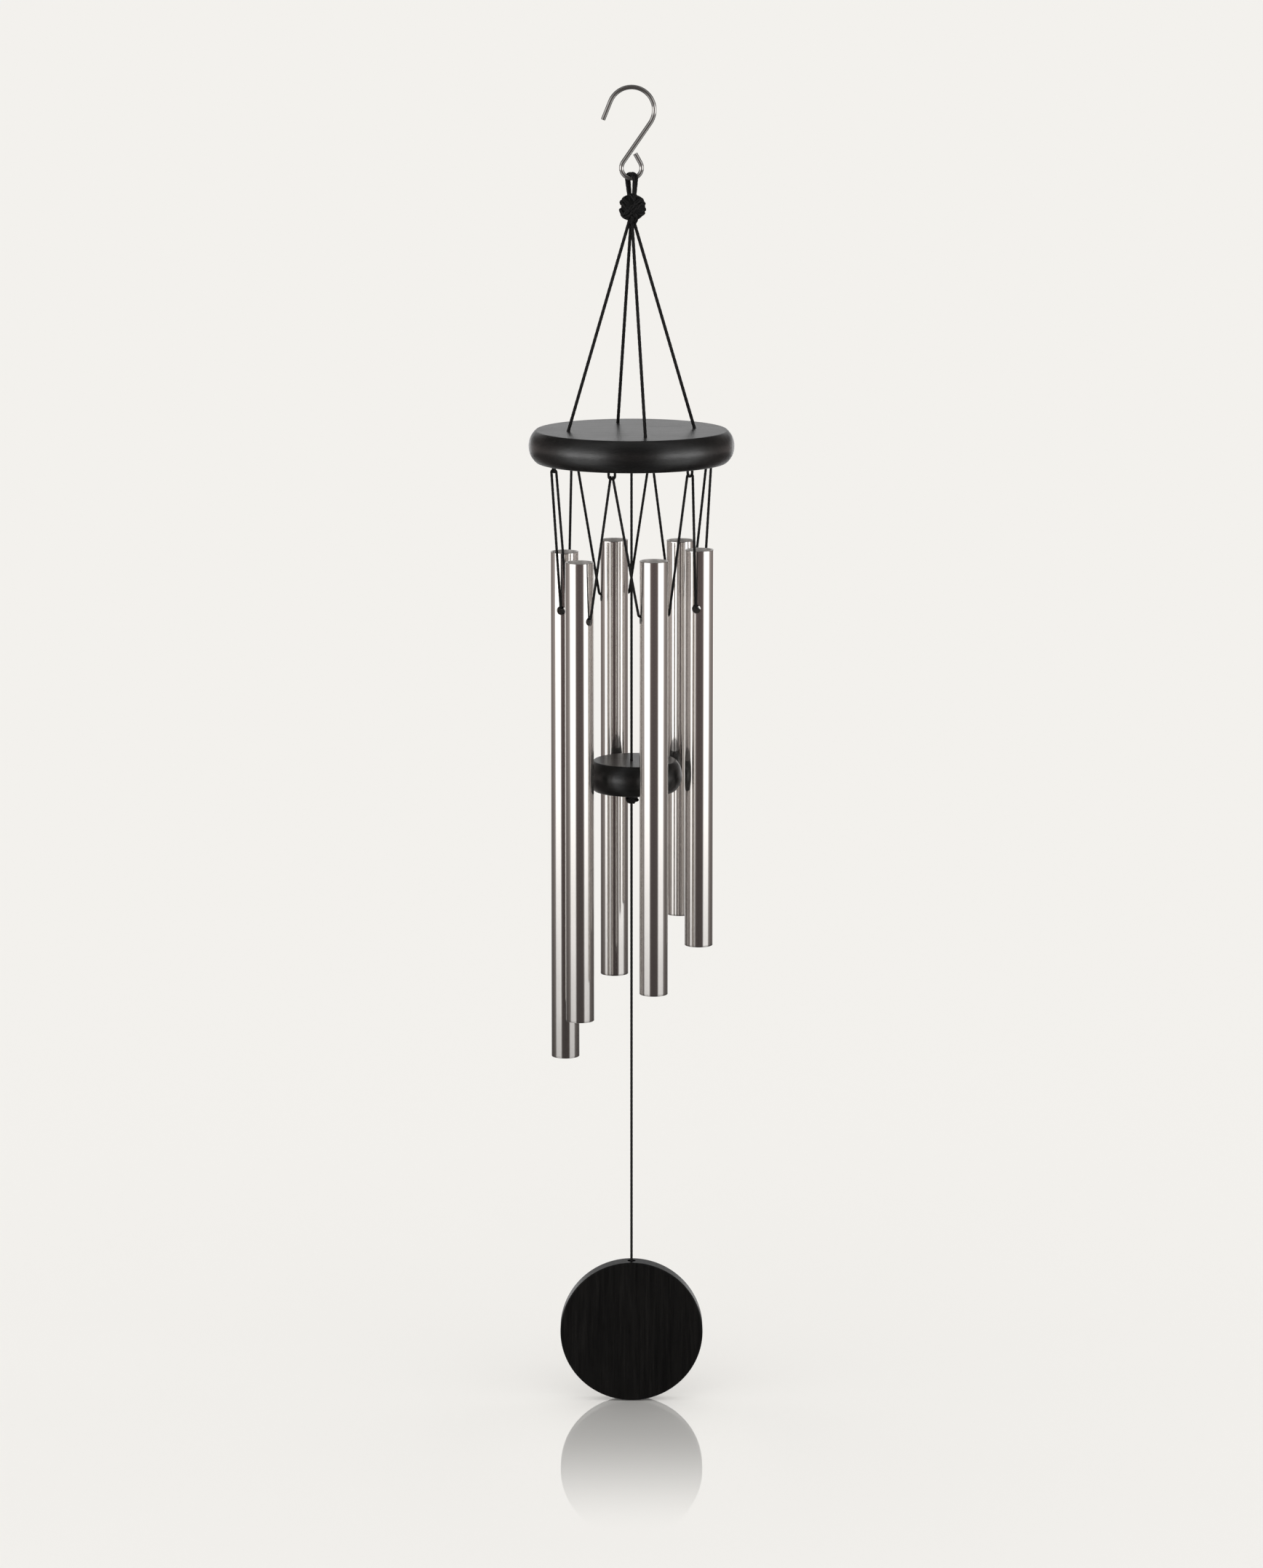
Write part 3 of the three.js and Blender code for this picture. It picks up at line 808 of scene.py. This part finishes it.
class CHIME_OT_stage(bpy.types.Operator):
    """Sets up the camera, the pale floor and the studio light"""

    bl_idname = "chime.stage"
    bl_label = "Set Up Studio"

    focal_px: bpy.props.FloatProperty(
        name="Focal length", description="Camera's focal length in pixels of the photo", default=7500
    )
    tilt: angle("Tilt", "How far the camera looks down", 10.493)
    distance: length("Distance", "Camera's distance in front of the chime", 3541.5)
    height: length("Height", "Camera's height above the hook's crown", 200.4)
    floor_reach: length("Floor reach", "Distance from the chime to the floor's edges", 60000)
    floor_gap: length("Floor gap", "Room between the sail and the floor", 0.5)

    def add_camera(self, scene):
        data = bpy.data.cameras.new("photo_camera")
        data.sensor_fit = "VERTICAL"
        data.sensor_height = SENSOR_MM
        data.lens = SENSOR_MM * self.focal_px / PHOTO_HEIGHT_PX
        camera = bpy.data.objects.new("photo_camera", data)
        camera.location = (0, -self.distance, self.height)
        camera.rotation_euler = (math.radians(90) - self.tilt, 0, 0)
        scene.collection.objects.link(camera)
        scene.camera = camera

    def add_floor(self, scene):
        bm = bmesh.new()
        bmesh.ops.create_grid(bm, x_segments=1, y_segments=1, size=self.floor_reach)
        bmesh.ops.translate(bm, verts=bm.verts, vec=(0, 0, bottom_of("sail") - self.floor_gap))
        mesh = bpy.data.meshes.new("floor")
        bm.to_mesh(mesh)
        bm.free()
        mesh.materials.append(material_for("pale_paper", paper_floor))
        floor = bpy.data.objects.new("floor", mesh)
        floor.visible_glossy = False
        scene.collection.objects.link(floor)

    def add_studio(self, tree):
        """The studio of white walls and dark gaps that gloss shows, by turn and by height."""
        place = add_node(tree, "ShaderNodeTexCoord")
        split = add_node(tree, "ShaderNodeSeparateXYZ", {"Vector": place.outputs["Generated"]})
        front = add_node(tree, "ShaderNodeMath", {0: split.outputs["Y"], 1: -1.0}, operation="MULTIPLY")
        turn = add_node(
            tree,
            "ShaderNodeMath",
            {0: split.outputs["X"], 1: front.outputs["Value"]},
            operation="ARCTAN2",
        )
        round_share = add_node(
            tree,
            "ShaderNodeMapRange",
            {"Value": turn.outputs["Value"], "From Min": -math.pi, "From Max": math.pi},
        )
        walls = add_node(tree, "ShaderNodeValToRGB", {"Fac": round_share.outputs["Result"]})
        set_stops(walls, wall_stops())
        rise = add_node(
            tree,
            "ShaderNodeMapRange",
            {"Value": split.outputs["Z"], "From Min": -1.0, "From Max": 1.0},
        )
        sides = add_node(tree, "ShaderNodeValToRGB", {"Fac": rise.outputs["Result"]})
        set_stops(sides, height_stops(SIDE_HEIGHTS))
        back = add_node(tree, "ShaderNodeValToRGB", {"Fac": rise.outputs["Result"]})
        set_stops(back, height_stops(BACK_HEIGHTS))
        away = add_node(tree, "ShaderNodeMath", {0: turn.outputs["Value"]}, operation="ABSOLUTE")
        behind = add_node(
            tree,
            "ShaderNodeMapRange",
            {
                "Value": away.outputs["Value"],
                "From Min": math.radians(BACK_FROM_DEG),
                "From Max": math.radians(BACK_FULL_DEG),
            },
        )
        heights = add_node(
            tree,
            "ShaderNodeMix",
            {
                "Factor": behind.outputs["Result"],
                MIX_FIRST: sides.outputs["Color"],
                MIX_SECOND: back.outputs["Color"],
            },
            data_type="RGBA",
        )
        lit = add_node(
            tree,
            "ShaderNodeMix",
            {"Factor": 1.0, MIX_FIRST: walls.outputs["Color"], MIX_SECOND: heights.outputs[MIX_RESULT]},
            data_type="RGBA",
            blend_type="MULTIPLY",
        )
        ceiling = add_node(
            tree,
            "ShaderNodeMapRange",
            {
                "Value": split.outputs["Z"],
                "From Min": math.sin(math.radians(CEILING_FROM_DEG)),
                "From Max": math.sin(math.radians(CEILING_FULL_DEG)),
                "To Max": CEILING,
            },
        )
        roofed = add_node(
            tree,
            "ShaderNodeMix",
            {"Factor": 1.0, MIX_FIRST: lit.outputs[MIX_RESULT], MIX_SECOND: ceiling.outputs["Result"]},
            data_type="RGBA",
            blend_type="ADD",
        )
        return add_node(
            tree,
            "ShaderNodeBackground",
            {"Color": roofed.outputs[MIX_RESULT], "Strength": STUDIO_STRENGTH},
        )

    def add_light(self, scene):
        """A world that is plain white light, paper to the eye and the studio to gloss."""
        world = bpy.data.worlds.new("studio")
        world.use_nodes = True
        world.cycles.sampling_method = "NONE"
        scene.world = world
        tree = world.node_tree
        tree.nodes.clear()
        studio = self.add_studio(tree)
        white = add_node(tree, "ShaderNodeBackground", {"Color": rgba((1, 1, 1))})
        paper = add_node(tree, "ShaderNodeBackground", {"Color": rgba(scene.chime_colours.backdrop)})
        path = add_node(tree, "ShaderNodeLightPath")
        seen = add_node(
            tree,
            "ShaderNodeMixShader",
            {
                0: path.outputs["Is Camera Ray"],
                1: white.outputs["Background"],
                2: paper.outputs["Background"],
            },
        )
        mixed = add_node(
            tree,
            "ShaderNodeMixShader",
            {
                0: path.outputs["Is Glossy Ray"],
                1: seen.outputs["Shader"],
                2: studio.outputs["Background"],
            },
        )
        add_node(tree, "ShaderNodeOutputWorld", {"Surface": mixed.outputs["Shader"]})

    def execute(self, context):
        scene = context.scene
        scene.view_settings.view_transform = "Standard"
        self.add_camera(scene)
        self.add_floor(scene)
        self.add_light(scene)
        return {"FINISHED"}


# Where the front and back legs of the loop enter the knot, which way its two cords lie beside
# each other there, and how far each lies from the middle between them, in diameters
LOOP_FRONT = Vector((1.6 * MM, -1.1 * MM, 0))
LOOP_BACK = Vector((-1.1 * MM, 1.0 * MM, 0))
LOOP_BESIDE = Vector((0.3, 0.95, 0))
LOOP_PITCH = 0.52


class CHIME_OT_suspension(bpy.types.Operator):
    """Hangs the loop over the hook's eye and the four strands that carry the disc"""

    bl_idname = "chime.suspension"
    bl_label = "Hang Suspension Cords"

    loop_spread: length("Loop spread", "Sideways distance of each leg of the loop at the wire", 2.5)
    loop_gap: length("Loop gap", "Room between the wire and the cords over it", 0.55)
    loop_tuck: length("Loop tuck", "How far the loop's legs reach into the knot", 3)
    strand_exit: length("Strand exit", "Distance of a strand from the middle under the knot", 1.5)
    strand_tuck: length("Strand tuck", "How far a strand reaches into the knot", 1.2)

    def loop_line(self, sizes, side):
        """One of the two cords over the eye: front leg to the right, back leg to the left."""
        wrap = sizes.wire / 2 + sizes.suspension_cord / 2 + self.loop_gap
        across = Vector((-self.loop_spread, wrap, 0))
        beside = across.cross(UP).normalized() * (-LOOP_PITCH * side * sizes.suspension_cord)
        top = arc(UP * eye_wire_z(sizes), -across, UP * wrap, 1.0, 0, math.pi, steps=24)
        knot = UP * (top_of("top_knot") - self.loop_tuck)
        behind = knot + LOOP_BESIDE * beside.length * math.copysign(1, beside.y)
        line = [LOOP_FRONT + behind, *(point + beside for point in top), LOOP_BACK + behind]
        return eased(along(line, CORD_STEP), passes=12)

    def strand_line(self, number):
        outward = strand_way(number)
        knot_z = bottom_of("top_knot")
        disc_z = top_of("top_disc")
        slope = (STRAND_RING - self.strand_exit) / (knot_z - disc_z)
        exit_ring = self.strand_exit - self.strand_tuck * slope
        start = outward * exit_ring + UP * (knot_z + self.strand_tuck)
        entry = outward * STRAND_RING + UP * disc_z
        end = outward * STRAND_RING + UP * (top_of(f"stopper_knot_{number}") - CORD_TUCK)
        return eased(along([start, entry, end], CORD_STEP), passes=4)

    def execute(self, context):
        sizes = context.scene.chime_sizes
        for side, name in ((-1, "left"), (1, "right")):
            line = self.loop_line(sizes, side)
            add_cord(f"loop_{name}", line, sizes.suspension_cord, "hanging_loop", f"loop_cord_{name}")
        for number in range(1, STRAND_COUNT + 1):
            line = self.strand_line(number)
            node = f"suspension_strand_{number}"
            piece = add_cord(f"strand_{number}", line, sizes.suspension_cord, "canopy", node)
        return {"FINISHED"}


class CHIME_OT_hangers(bpy.types.Operator):
    """Sets the six short cord loops in the underside of the disc"""

    bl_idname = "chime.hangers"
    bl_label = "Set Hanger Loops"

    corner: length("Corner", "Radius of a hanger loop's corners", 1.9)
    depth: length("Depth", "How far a hanger loop's ends reach into the disc", 9)

    def line(self, sizes, number):
        outward = towards(tube_deg(number) - HALF_STEP_DEG)
        across = UP.cross(outward)
        low = outward * HANGER_RING + UP * (bottom_of("top_disc") - sizes.hanger_drop)
        half = sizes.hanger_width / 2
        inner = across * (half - self.corner)
        start = low - across * half + UP * (sizes.hanger_drop + self.depth)
        end = low + across * half + UP * (sizes.hanger_drop + self.depth)
        raised = low + UP * self.corner
        left = arc(raised - inner, across, UP, self.corner, math.pi, 1.5 * math.pi, steps=8)
        right = arc(raised + inner, across, UP, self.corner, -0.5 * math.pi, 0, steps=8)
        return eased(along([start, *left, *right, end], FINE_STEP))

    def execute(self, context):
        sizes = context.scene.chime_sizes
        for number in range(1, TUBE_COUNT + 1):
            line = self.line(sizes, number)
            add_cord(f"hanger_{number}", line, sizes.cord, "canopy", f"hanger_loop_{number}")
        return {"FINISHED"}


# Slings that come down outside their first hanger loop, and outside their last one
OUTSIDE_FIRST_LOOP = (1, 3, 4, 6)
OUTSIDE_LAST_LOOP = (1, 4)


class CHIME_OT_slings(bpy.types.Operator):
    """Threads a sling of cord from each hanger loop through a tube to the next loop"""

    bl_idname = "chime.slings"
    bl_label = "Thread Tube Slings"

    seat: length("Bight seat", "Distance of a sling's top from the middle of the hanger loop", 0.85)
    spread: length("Bight spread", "How much wider apart the legs are than the tops", 0.4)
    wrap: length("Bight wrap", "Distance from the middle of a hanger loop's cord to a sling's", 1.3)

    def half_bight(self, sizes, number, side):
        """From a hanger loop's middle over its cord and down, on the side of the sling's own tube."""
        outward = towards(tube_deg(number) + side * HALF_STEP_DEG)
        homeward = UP.cross(outward) * -side
        saddle = outward * HANGER_RING + UP * (bottom_of("top_disc") - sizes.hanger_drop)
        outside = number in (OUTSIDE_FIRST_LOOP if side < 0 else OUTSIDE_LAST_LOOP)
        reach = outward * (self.wrap if outside else -self.wrap) + homeward * self.spread
        return arc(saddle + homeward * self.seat, UP * self.wrap, reach, 1.0, 0, math.pi / 2, steps=8)

    def line(self, sizes, number):
        tube = f"tube_{number}"
        across = UP.cross(towards(tube_deg(number)))
        axis = middle_of(tube)
        tube_radius = radius_of(tube)
        hole_top = top_of(tube) - sizes.tube_hole_drop + sizes.tube_hole / 2
        bend = sizes.cord / 2 + CORD_GAP
        route = self.half_bight(sizes, number, -1)
        for side in (-1, 1):
            corner = Vector((axis.x, axis.y, hole_top)) + across * (side * tube_radius)
            turned = arc(corner, across * side, UP, bend, 0, -math.pi / 2, steps=8)
            route += turned if side < 0 else turned[::-1]
        route += self.half_bight(sizes, number, 1)[::-1]
        return eased(along(route, CORD_STEP))

    def execute(self, context):
        sizes = context.scene.chime_sizes
        for number in range(1, TUBE_COUNT + 1):
            line = self.line(sizes, number)
            body = f"sling_{number}"
            piece = add_cord(f"tube_sling_{number}", line, sizes.cord, body, body)
        return {"FINISHED"}


class CHIME_OT_centre_cords(bpy.types.Operator):
    """Drops the centre cord to the striker and the sail cord to the sail"""

    bl_idname = "chime.centre_cords"
    bl_label = "Drop Centre Cords"

    def execute(self, context):
        sizes = context.scene.chime_sizes
        for node in ("centre_cord", "sail_cord"):
            start = Vector((0, 0, top_of(node) + CORD_TUCK))
            end = Vector((0, 0, bottom_of(node) - CORD_TUCK))
            line = along([start, end], CORD_STEP)
            piece = add_cord(f"straight_{node}", line, sizes.cord, node, node)
        return {"FINISHED"}


# The run of an overhand knot, as shares of half its size: down the front, round the lower right,
# behind, round the lower left, up across the front, round the upper right, behind,
# round the upper left, under the front band and out below
KNOT_RUN = [
    (0.08, -0.1, 1.0),
    (0.1, -0.34, 0.7),
    (0.08, -0.4, 0.28),
    (0.26, -0.32, -0.18),
    (0.6, -0.34, -0.3),
    (0.82, 0.06, -0.22),
    (0.5, 0.52, -0.4),
    (-0.1, 0.58, -0.62),
    (-0.5, 0.34, -0.5),
    (-0.64, -0.08, -0.24),
    (-0.46, -0.46, -0.46),
    (0.02, -0.66, -0.08),
    (0.5, -0.52, 0.34),
    (0.76, 0.0, 0.36),
    (0.42, 0.48, 0.56),
    (-0.08, 0.58, 0.62),
    (-0.46, 0.36, 0.52),
    (-0.58, -0.06, 0.42),
    (-0.4, -0.42, 0.28),
    (-0.12, -0.36, -0.12),
    (0.16, -0.48, -0.42),
    (0.2, -0.34, -0.7),
    (0.05, -0.05, -1.05),
]
# The two knots that show: half their size, and the cords in them, in diameters from the run
TOP_KNOT_HALF = (8.2 * MM, 7 * MM, 8.5 * MM)
TOP_KNOT_CORDS = [(-0.5, -0.5), (-0.5, 0.5), (0.5, -0.5), (0.5, 0.5)]
STRIKER_KNOT_HALF = (4.6 * MM, 3.6 * MM, 5.6 * MM)
STRIKER_KNOT_CORDS = [(-0.4, 0), (0.4, 0)]
# The knots inside the wood: node, body, half their width and half their height
HIDDEN_KNOTS = [
    *((f"stopper_knot_{i}", "canopy", 3 * MM, 2.3 * MM) for i in range(1, STRAND_COUNT + 1)),
    ("centre_knot", "centre_knot", 2.8 * MM, 2.3 * MM),
    ("sail_knot", "sail_cord", 2.1 * MM, 1.9 * MM),
]
# A slack cord's diameter against a taut one's, a hidden knot's cord against half the knot's width,
# and how far the heart of a knot sits to the right, against that half width
SLACK_CORD = 1.25
HIDDEN_CORD = 0.4
HEART_ASIDE = 0.13


class CHIME_OT_knots(bpy.types.Operator):
    """Ties the knots: under the hook, under the striker, and those inside the wood"""

    bl_idname = "chime.knots"
    bl_label = "Tie Knots"

    def knot(self, node, half, diameter, cords, tucked=0.6, heart=0.76):
        """Ties an overhand knot round a heart; its ends stop at a share of its height."""
        centre = middle_of(node)
        run = [(x, y, max(-tucked, min(tucked, z))) for x, y, z in KNOT_RUN]
        points = [centre + Vector([share * size for share, size in zip(p, half)]) for p in run]
        frames = frames_along(flowing(points, CORD_STEP), centre)
        bm = bmesh.new()
        for across, aside in cords:
            offset = Vector((across * diameter, aside * diameter, 0))
            braided(bm, [here @ offset for here in frames], diameter)
        # The heart has no relief set, so it takes the darkest colour, the painted groove shade
        core = bmesh.ops.create_icosphere(bm, subdivisions=3, radius=1)["verts"]
        middle = centre + HEART_ASIDE * half[0] * RIGHT
        grown = Matrix.Translation(middle) @ Matrix.Diagonal((*(heart * h for h in half), 1))
        bmesh.ops.transform(bm, matrix=grown, verts=core)
        return bm

    def execute(self, context):
        sizes = context.scene.chime_sizes
        slack = SLACK_CORD * sizes.suspension_cord
        bm = self.knot("top_knot", TOP_KNOT_HALF, slack, TOP_KNOT_CORDS, tucked=1.05, heart=0.97)
        add_piece("knot_under_hook", bm, nylon(), "black_cord", "hanging_loop", "top_knot")
        bm = self.knot("striker_knot", STRIKER_KNOT_HALF, sizes.cord, STRIKER_KNOT_CORDS)
        add_piece("knot_under_striker", bm, nylon(), "black_cord", "striker_knot", "striker_knot")
        for node, body, wide, tall in HIDDEN_KNOTS:
            bm = self.knot(node, (wide, wide, tall), HIDDEN_CORD * wide, [(0, 0)])
            add_piece(f"tied_{node}", bm, nylon(), "black_cord", body, node)
        return {"FINISHED"}


class CHIME_OT_hook(bpy.types.Operator):
    """Bends the steel S-hook"""

    bl_idname = "chime.hook"
    bl_label = "Bend Hook"

    step: length("Step", "Distance between the rings of points along the wire", 0.6)
    end_break: length("End break", "Chamfer on the wire's cut ends", 0.3)

    def line(self, sizes):
        """From the flared tip over the crown, down the stem and round the eye."""
        crown_radius = sizes.crown_inner + sizes.wire / 2
        eye_radius = sizes.eye_inner + sizes.wire / 2
        crown = UP * -sizes.crown_inner
        eye = crown - UP * sizes.eye_drop
        stem = math.asin((crown_radius + eye_radius) / sizes.eye_drop)
        flare = sizes.crown_flare
        lean = sizes.eye_end_lean
        bend = arc(crown, RIGHT, UP, crown_radius, math.pi - flare, -stem, steps=72)
        ring = arc(eye, RIGHT, UP, eye_radius, math.pi - stem, 2 * math.pi + lean, steps=72)
        tip = bend[0] - sizes.tip * (RIGHT * math.sin(flare) + UP * math.cos(flare))
        end = ring[-1] + sizes.eye_end * (UP * math.cos(lean) - RIGHT * math.sin(lean))
        return eased(along([tip, *bend, *ring, end], self.step))

    def execute(self, context):
        sizes = context.scene.chime_sizes
        bm = bmesh.new()
        swept(bm, self.line(sizes), sizes.wire / 2, sides=32)
        caps = [face for face in bm.faces if len(face.verts) > 4]
        rims = list({edge for face in caps for edge in face.edges})
        bmesh.ops.bevel(
            bm, geom=rims, offset=self.end_break, affect="EDGES", segments=2, profile=0.5, material=-1
        )
        bmesh.ops.recalc_face_normals(bm, faces=bm.faces)
        add_piece("steel_hook", bm, steel(), "polished_steel", "hook", "hook")
        return {"FINISHED"}


class CHIME_OT_discs(bpy.types.Operator):
    """Turns the top disc and the striker, with bulging sides, and drills them"""

    bl_idname = "chime.discs"
    bl_label = "Turn Discs"

    crease: length("Crease", "Rounding where a flat face meets the side", 0.5)
    plug_hole: length("Plug hole", "Radius of the hole for the centre plug", 3.6)
    plug_room: length("Plug room", "Room above the knot over the centre plug", 0.5)
    strand_hole: length("Strand hole", "Radius of the hole for a strand", 1.5)
    recess: length("Recess", "Radius of the recess for a strand's knot", 3.8)
    recess_room: length("Recess room", "Room above a strand's knot", 0.3)
    hanger_hole: length("Hanger hole", "Radius of the hole for a hanger loop's leg", 1)
    striker_hole: length("Striker hole", "Radius of the hole through the striker", 1.3)

    def blank(self, node, bulge):
        """A turned disc: flat faces, a small rounded crease and an arc between."""
        half = UP * ((top_of(node) - bottom_of(node)) / 2)
        radius = radius_of(node)
        centre = middle_of(node)
        arc_radius = (half.z * half.z + bulge * bulge) / (2 * bulge)
        reach = math.asin(half.z / arc_radius)
        inset = centre + RIGHT * (radius - arc_radius)
        side = arc(inset, RIGHT, UP, arc_radius, -reach, reach, steps=24)
        flat = RIGHT * (radius - bulge - self.crease)
        rounded = eased(along([centre + flat - half, *side, centre + flat + half], FINE_STEP))
        bm = bmesh.new()
        spun(bm, [centre - half, *rounded, centre + half], centre, UP, steps=160)
        return bm

    def top_drills(self, sizes):
        """Holes for the strands, their knots, the hanger loops and the centre cord."""
        top = UP * (top_of("top_disc") + DRILL_PAST)
        under = UP * (bottom_of("top_disc") - DRILL_PAST)
        drills = [(UP * (top_of("centre_knot") + self.plug_room), under, self.plug_hole)]
        for number in range(1, STRAND_COUNT + 1):
            outward = strand_way(number) * STRAND_RING
            inner = UP * (top_of(f"stopper_knot_{number}") + self.recess_room)
            drills.append((outward + top, outward + under, self.strand_hole))
            drills.append((outward + inner, outward + under, self.recess))
        for number in range(1, TUBE_COUNT + 1):
            outward = towards(tube_deg(number) - HALF_STEP_DEG)
            across = UP.cross(outward) * (sizes.hanger_width / 2)
            depth = UP * top_of(f"hanger_loop_{number}")
            for place in (outward * HANGER_RING - across, outward * HANGER_RING + across):
                drills.append((place + depth, place + under, self.hanger_hole))
        return drills

    def execute(self, context):
        sizes = context.scene.chime_sizes
        disc = drilled(self.blank("top_disc", sizes.disc_bulge), self.top_drills(sizes))
        add_piece("wooden_disc", disc, disc_wood(), "black_wood", "canopy", "top_disc")
        above = UP * (top_of("striker") + DRILL_PAST)
        below = UP * (bottom_of("striker") - DRILL_PAST)
        hole = (above, below, self.striker_hole)
        striker = drilled(self.blank("striker", sizes.striker_bulge), [hole])
        add_piece("wooden_striker", striker, striker_wood(), "black_wood", "striker", "striker")
        return {"FINISHED"}


class CHIME_OT_tubes(bpy.types.Operator):
    """Cuts the six tubes to length and drills their cross holes"""

    bl_idname = "chime.tubes"
    bl_label = "Cut Tubes"

    end_round: length("End rounding", "Rounding of the tube's cut edges", 0.35)
    drill_reach: length("Drill reach", "How far the cross drill runs to each side of a tube's axis", 12)

    def blank(self, node, wall):
        """A tube with rounded edges at both ends."""
        outer = radius_of(node)
        inner = outer - wall
        soft = self.end_round
        high = top_of(node) - soft
        low = bottom_of(node) + soft
        axis = middle_of(node)
        here = Vector((axis.x, axis.y, 0))
        corners = [
            (outer - soft, high, 0.5 * math.pi, 0),
            (outer - soft, low, 0, -0.5 * math.pi),
            (inner + soft, low, -0.5 * math.pi, -math.pi),
            (inner + soft, high, math.pi, 0.5 * math.pi),
        ]
        profile = []
        for x, z, start, end in corners:
            profile += arc(here + RIGHT * x + UP * z, RIGHT, UP, soft, start, end, steps=4)
        bm = bmesh.new()
        spun(bm, [*profile, profile[0]], here, UP, steps=128)
        return bm

    def mark_bore(self, bm, node):
        """Marks the sawn ends and the inside of a tube, which are duller than its outside."""
        bore = bm.verts.layers.float.new("bore")
        axis = middle_of(node)
        bore_reach = radius_of(node) - 0.5 * self.end_round
        for vert in bm.verts:
            inside = (vert.co - axis).xy.length < bore_reach
            vert[bore] = 1.0 if inside else 0.0

    def execute(self, context):
        sizes = context.scene.chime_sizes
        for number in range(1, TUBE_COUNT + 1):
            node = f"tube_{number}"
            hole = middle_of(node)
            hole.z = top_of(node) - sizes.tube_hole_drop
            across = UP.cross(towards(tube_deg(number))) * self.drill_reach
            drill = (hole - across, hole + across, sizes.tube_hole / 2)
            bm = drilled(self.blank(node, sizes.tube_wall), [drill])
            self.mark_bore(bm, node)
            add_piece(f"aluminium_{node}", bm, aluminium(), "brushed_aluminium", node, node)
        return {"FINISHED"}


class CHIME_OT_sail(bpy.types.Operator):
    """Cuts the sail, drills its rim, and sets the two plugs that hold cord ends"""

    bl_idname = "chime.sail"
    bl_label = "Cut Sail And Plugs"

    rim_hole: length("Rim hole", "Radius of the hole in the sail's rim", 2.8)
    rim_depth: length("Rim depth", "Depth of the hole in the sail's rim", 14)
    plug_bore: length("Plug bore", "Radius of the hole through a plug", 1.3)
    plug_edge: length("Plug edge", "Rounding of a plug's edges", 0.2)

    def sail(self, sizes):
        low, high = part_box("sail")
        half = (high[1] - low[1]) / 2
        radius = radius_of("sail")
        soft = sizes.sail_edge
        centre = middle_of("sail")
        profile = [centre - BACK * half]
        for side in (-1, 1):
            corner = centre + RIGHT * (radius - soft) + BACK * (side * (half - soft))
            start = -0.5 * math.pi if side < 0 else 0
            profile += arc(corner, RIGHT, BACK, soft, start, start + 0.5 * math.pi, steps=5)
        profile.append(centre + BACK * half)
        bm = bmesh.new()
        spun(bm, profile, centre, BACK, steps=192)
        above = UP * (high[2] + DRILL_PAST)
        return drilled(bm, [(above, UP * (high[2] - self.rim_depth), self.rim_hole)])

    def plug(self, node):
        """A drilled round plug with softened edges."""
        low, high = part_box(node)
        outer = (high[1] - low[1]) / 2
        profile = [
            RIGHT * self.plug_bore + UP * low[2],
            RIGHT * outer + UP * low[2],
            RIGHT * outer + UP * high[2],
            RIGHT * self.plug_bore + UP * high[2],
        ]
        bm = bmesh.new()
        spun(bm, [*profile, profile[0]], (0, 0, 0), UP, steps=32)
        sharp = [edge for edge in bm.edges if edge.calc_face_angle(0) > SMOOTH_BELOW]
        bmesh.ops.bevel(
            bm, geom=sharp, offset=self.plug_edge, affect="EDGES", segments=2, profile=0.5, material=-1
        )
        return bm

    def execute(self, context):
        sizes = context.scene.chime_sizes
        add_piece("wooden_sail", self.sail(sizes), sail_wood(), "black_wood", "sail", "sail")
        in_disc = self.plug("centre_plug")
        add_piece("plug_in_disc", in_disc, disc_wood(), "black_wood", "canopy", "centre_plug")
        in_sail = self.plug("sail_plug")
        add_piece("plug_in_sail", in_sail, sail_wood(), "black_wood", "sail", "sail_plug")
        return {"FINISHED"}


class CHIME_PT_pieces(bpy.types.Panel):
    """Lists the steps that build the chime"""

    bl_label = "Wind Chime"
    bl_idname = "CHIME_PT_pieces"
    bl_space_type = "VIEW_3D"
    bl_region_type = "UI"
    bl_category = "Chime"

    def draw(self, context):
        for step in STEPS:
            self.layout.operator(step.bl_idname)
        for group in (context.scene.chime_sizes, context.scene.chime_colours):
            box = self.layout.box()
            for name in group.__annotations__:
                box.prop(group, name)


STEPS = (
    CHIME_OT_stage,
    CHIME_OT_suspension,
    CHIME_OT_hangers,
    CHIME_OT_slings,
    CHIME_OT_centre_cords,
    CHIME_OT_knots,
    CHIME_OT_hook,
    CHIME_OT_discs,
    CHIME_OT_tubes,
    CHIME_OT_sail,
)
CLASSES = (ChimeSizes, ChimeColours, *STEPS, CHIME_PT_pieces)


def register():
    for cls in CLASSES:
        bpy.utils.register_class(cls)
    bpy.types.Scene.chime_sizes = bpy.props.PointerProperty(type=ChimeSizes)
    bpy.types.Scene.chime_colours = bpy.props.PointerProperty(type=ChimeColours)


def unregister():
    del bpy.types.Scene.chime_colours
    del bpy.types.Scene.chime_sizes
    for cls in reversed(CLASSES):
        bpy.utils.unregister_class(cls)


def main():
    register()
    bpy.ops.chime.stage()
    bpy.ops.chime.suspension()
    bpy.ops.chime.hangers()
    bpy.ops.chime.slings()
    bpy.ops.chime.centre_cords()
    bpy.ops.chime.knots()
    bpy.ops.chime.hook()
    bpy.ops.chime.discs()
    bpy.ops.chime.tubes()
    bpy.ops.chime.sail()


if __name__ == "__main__":
    main()
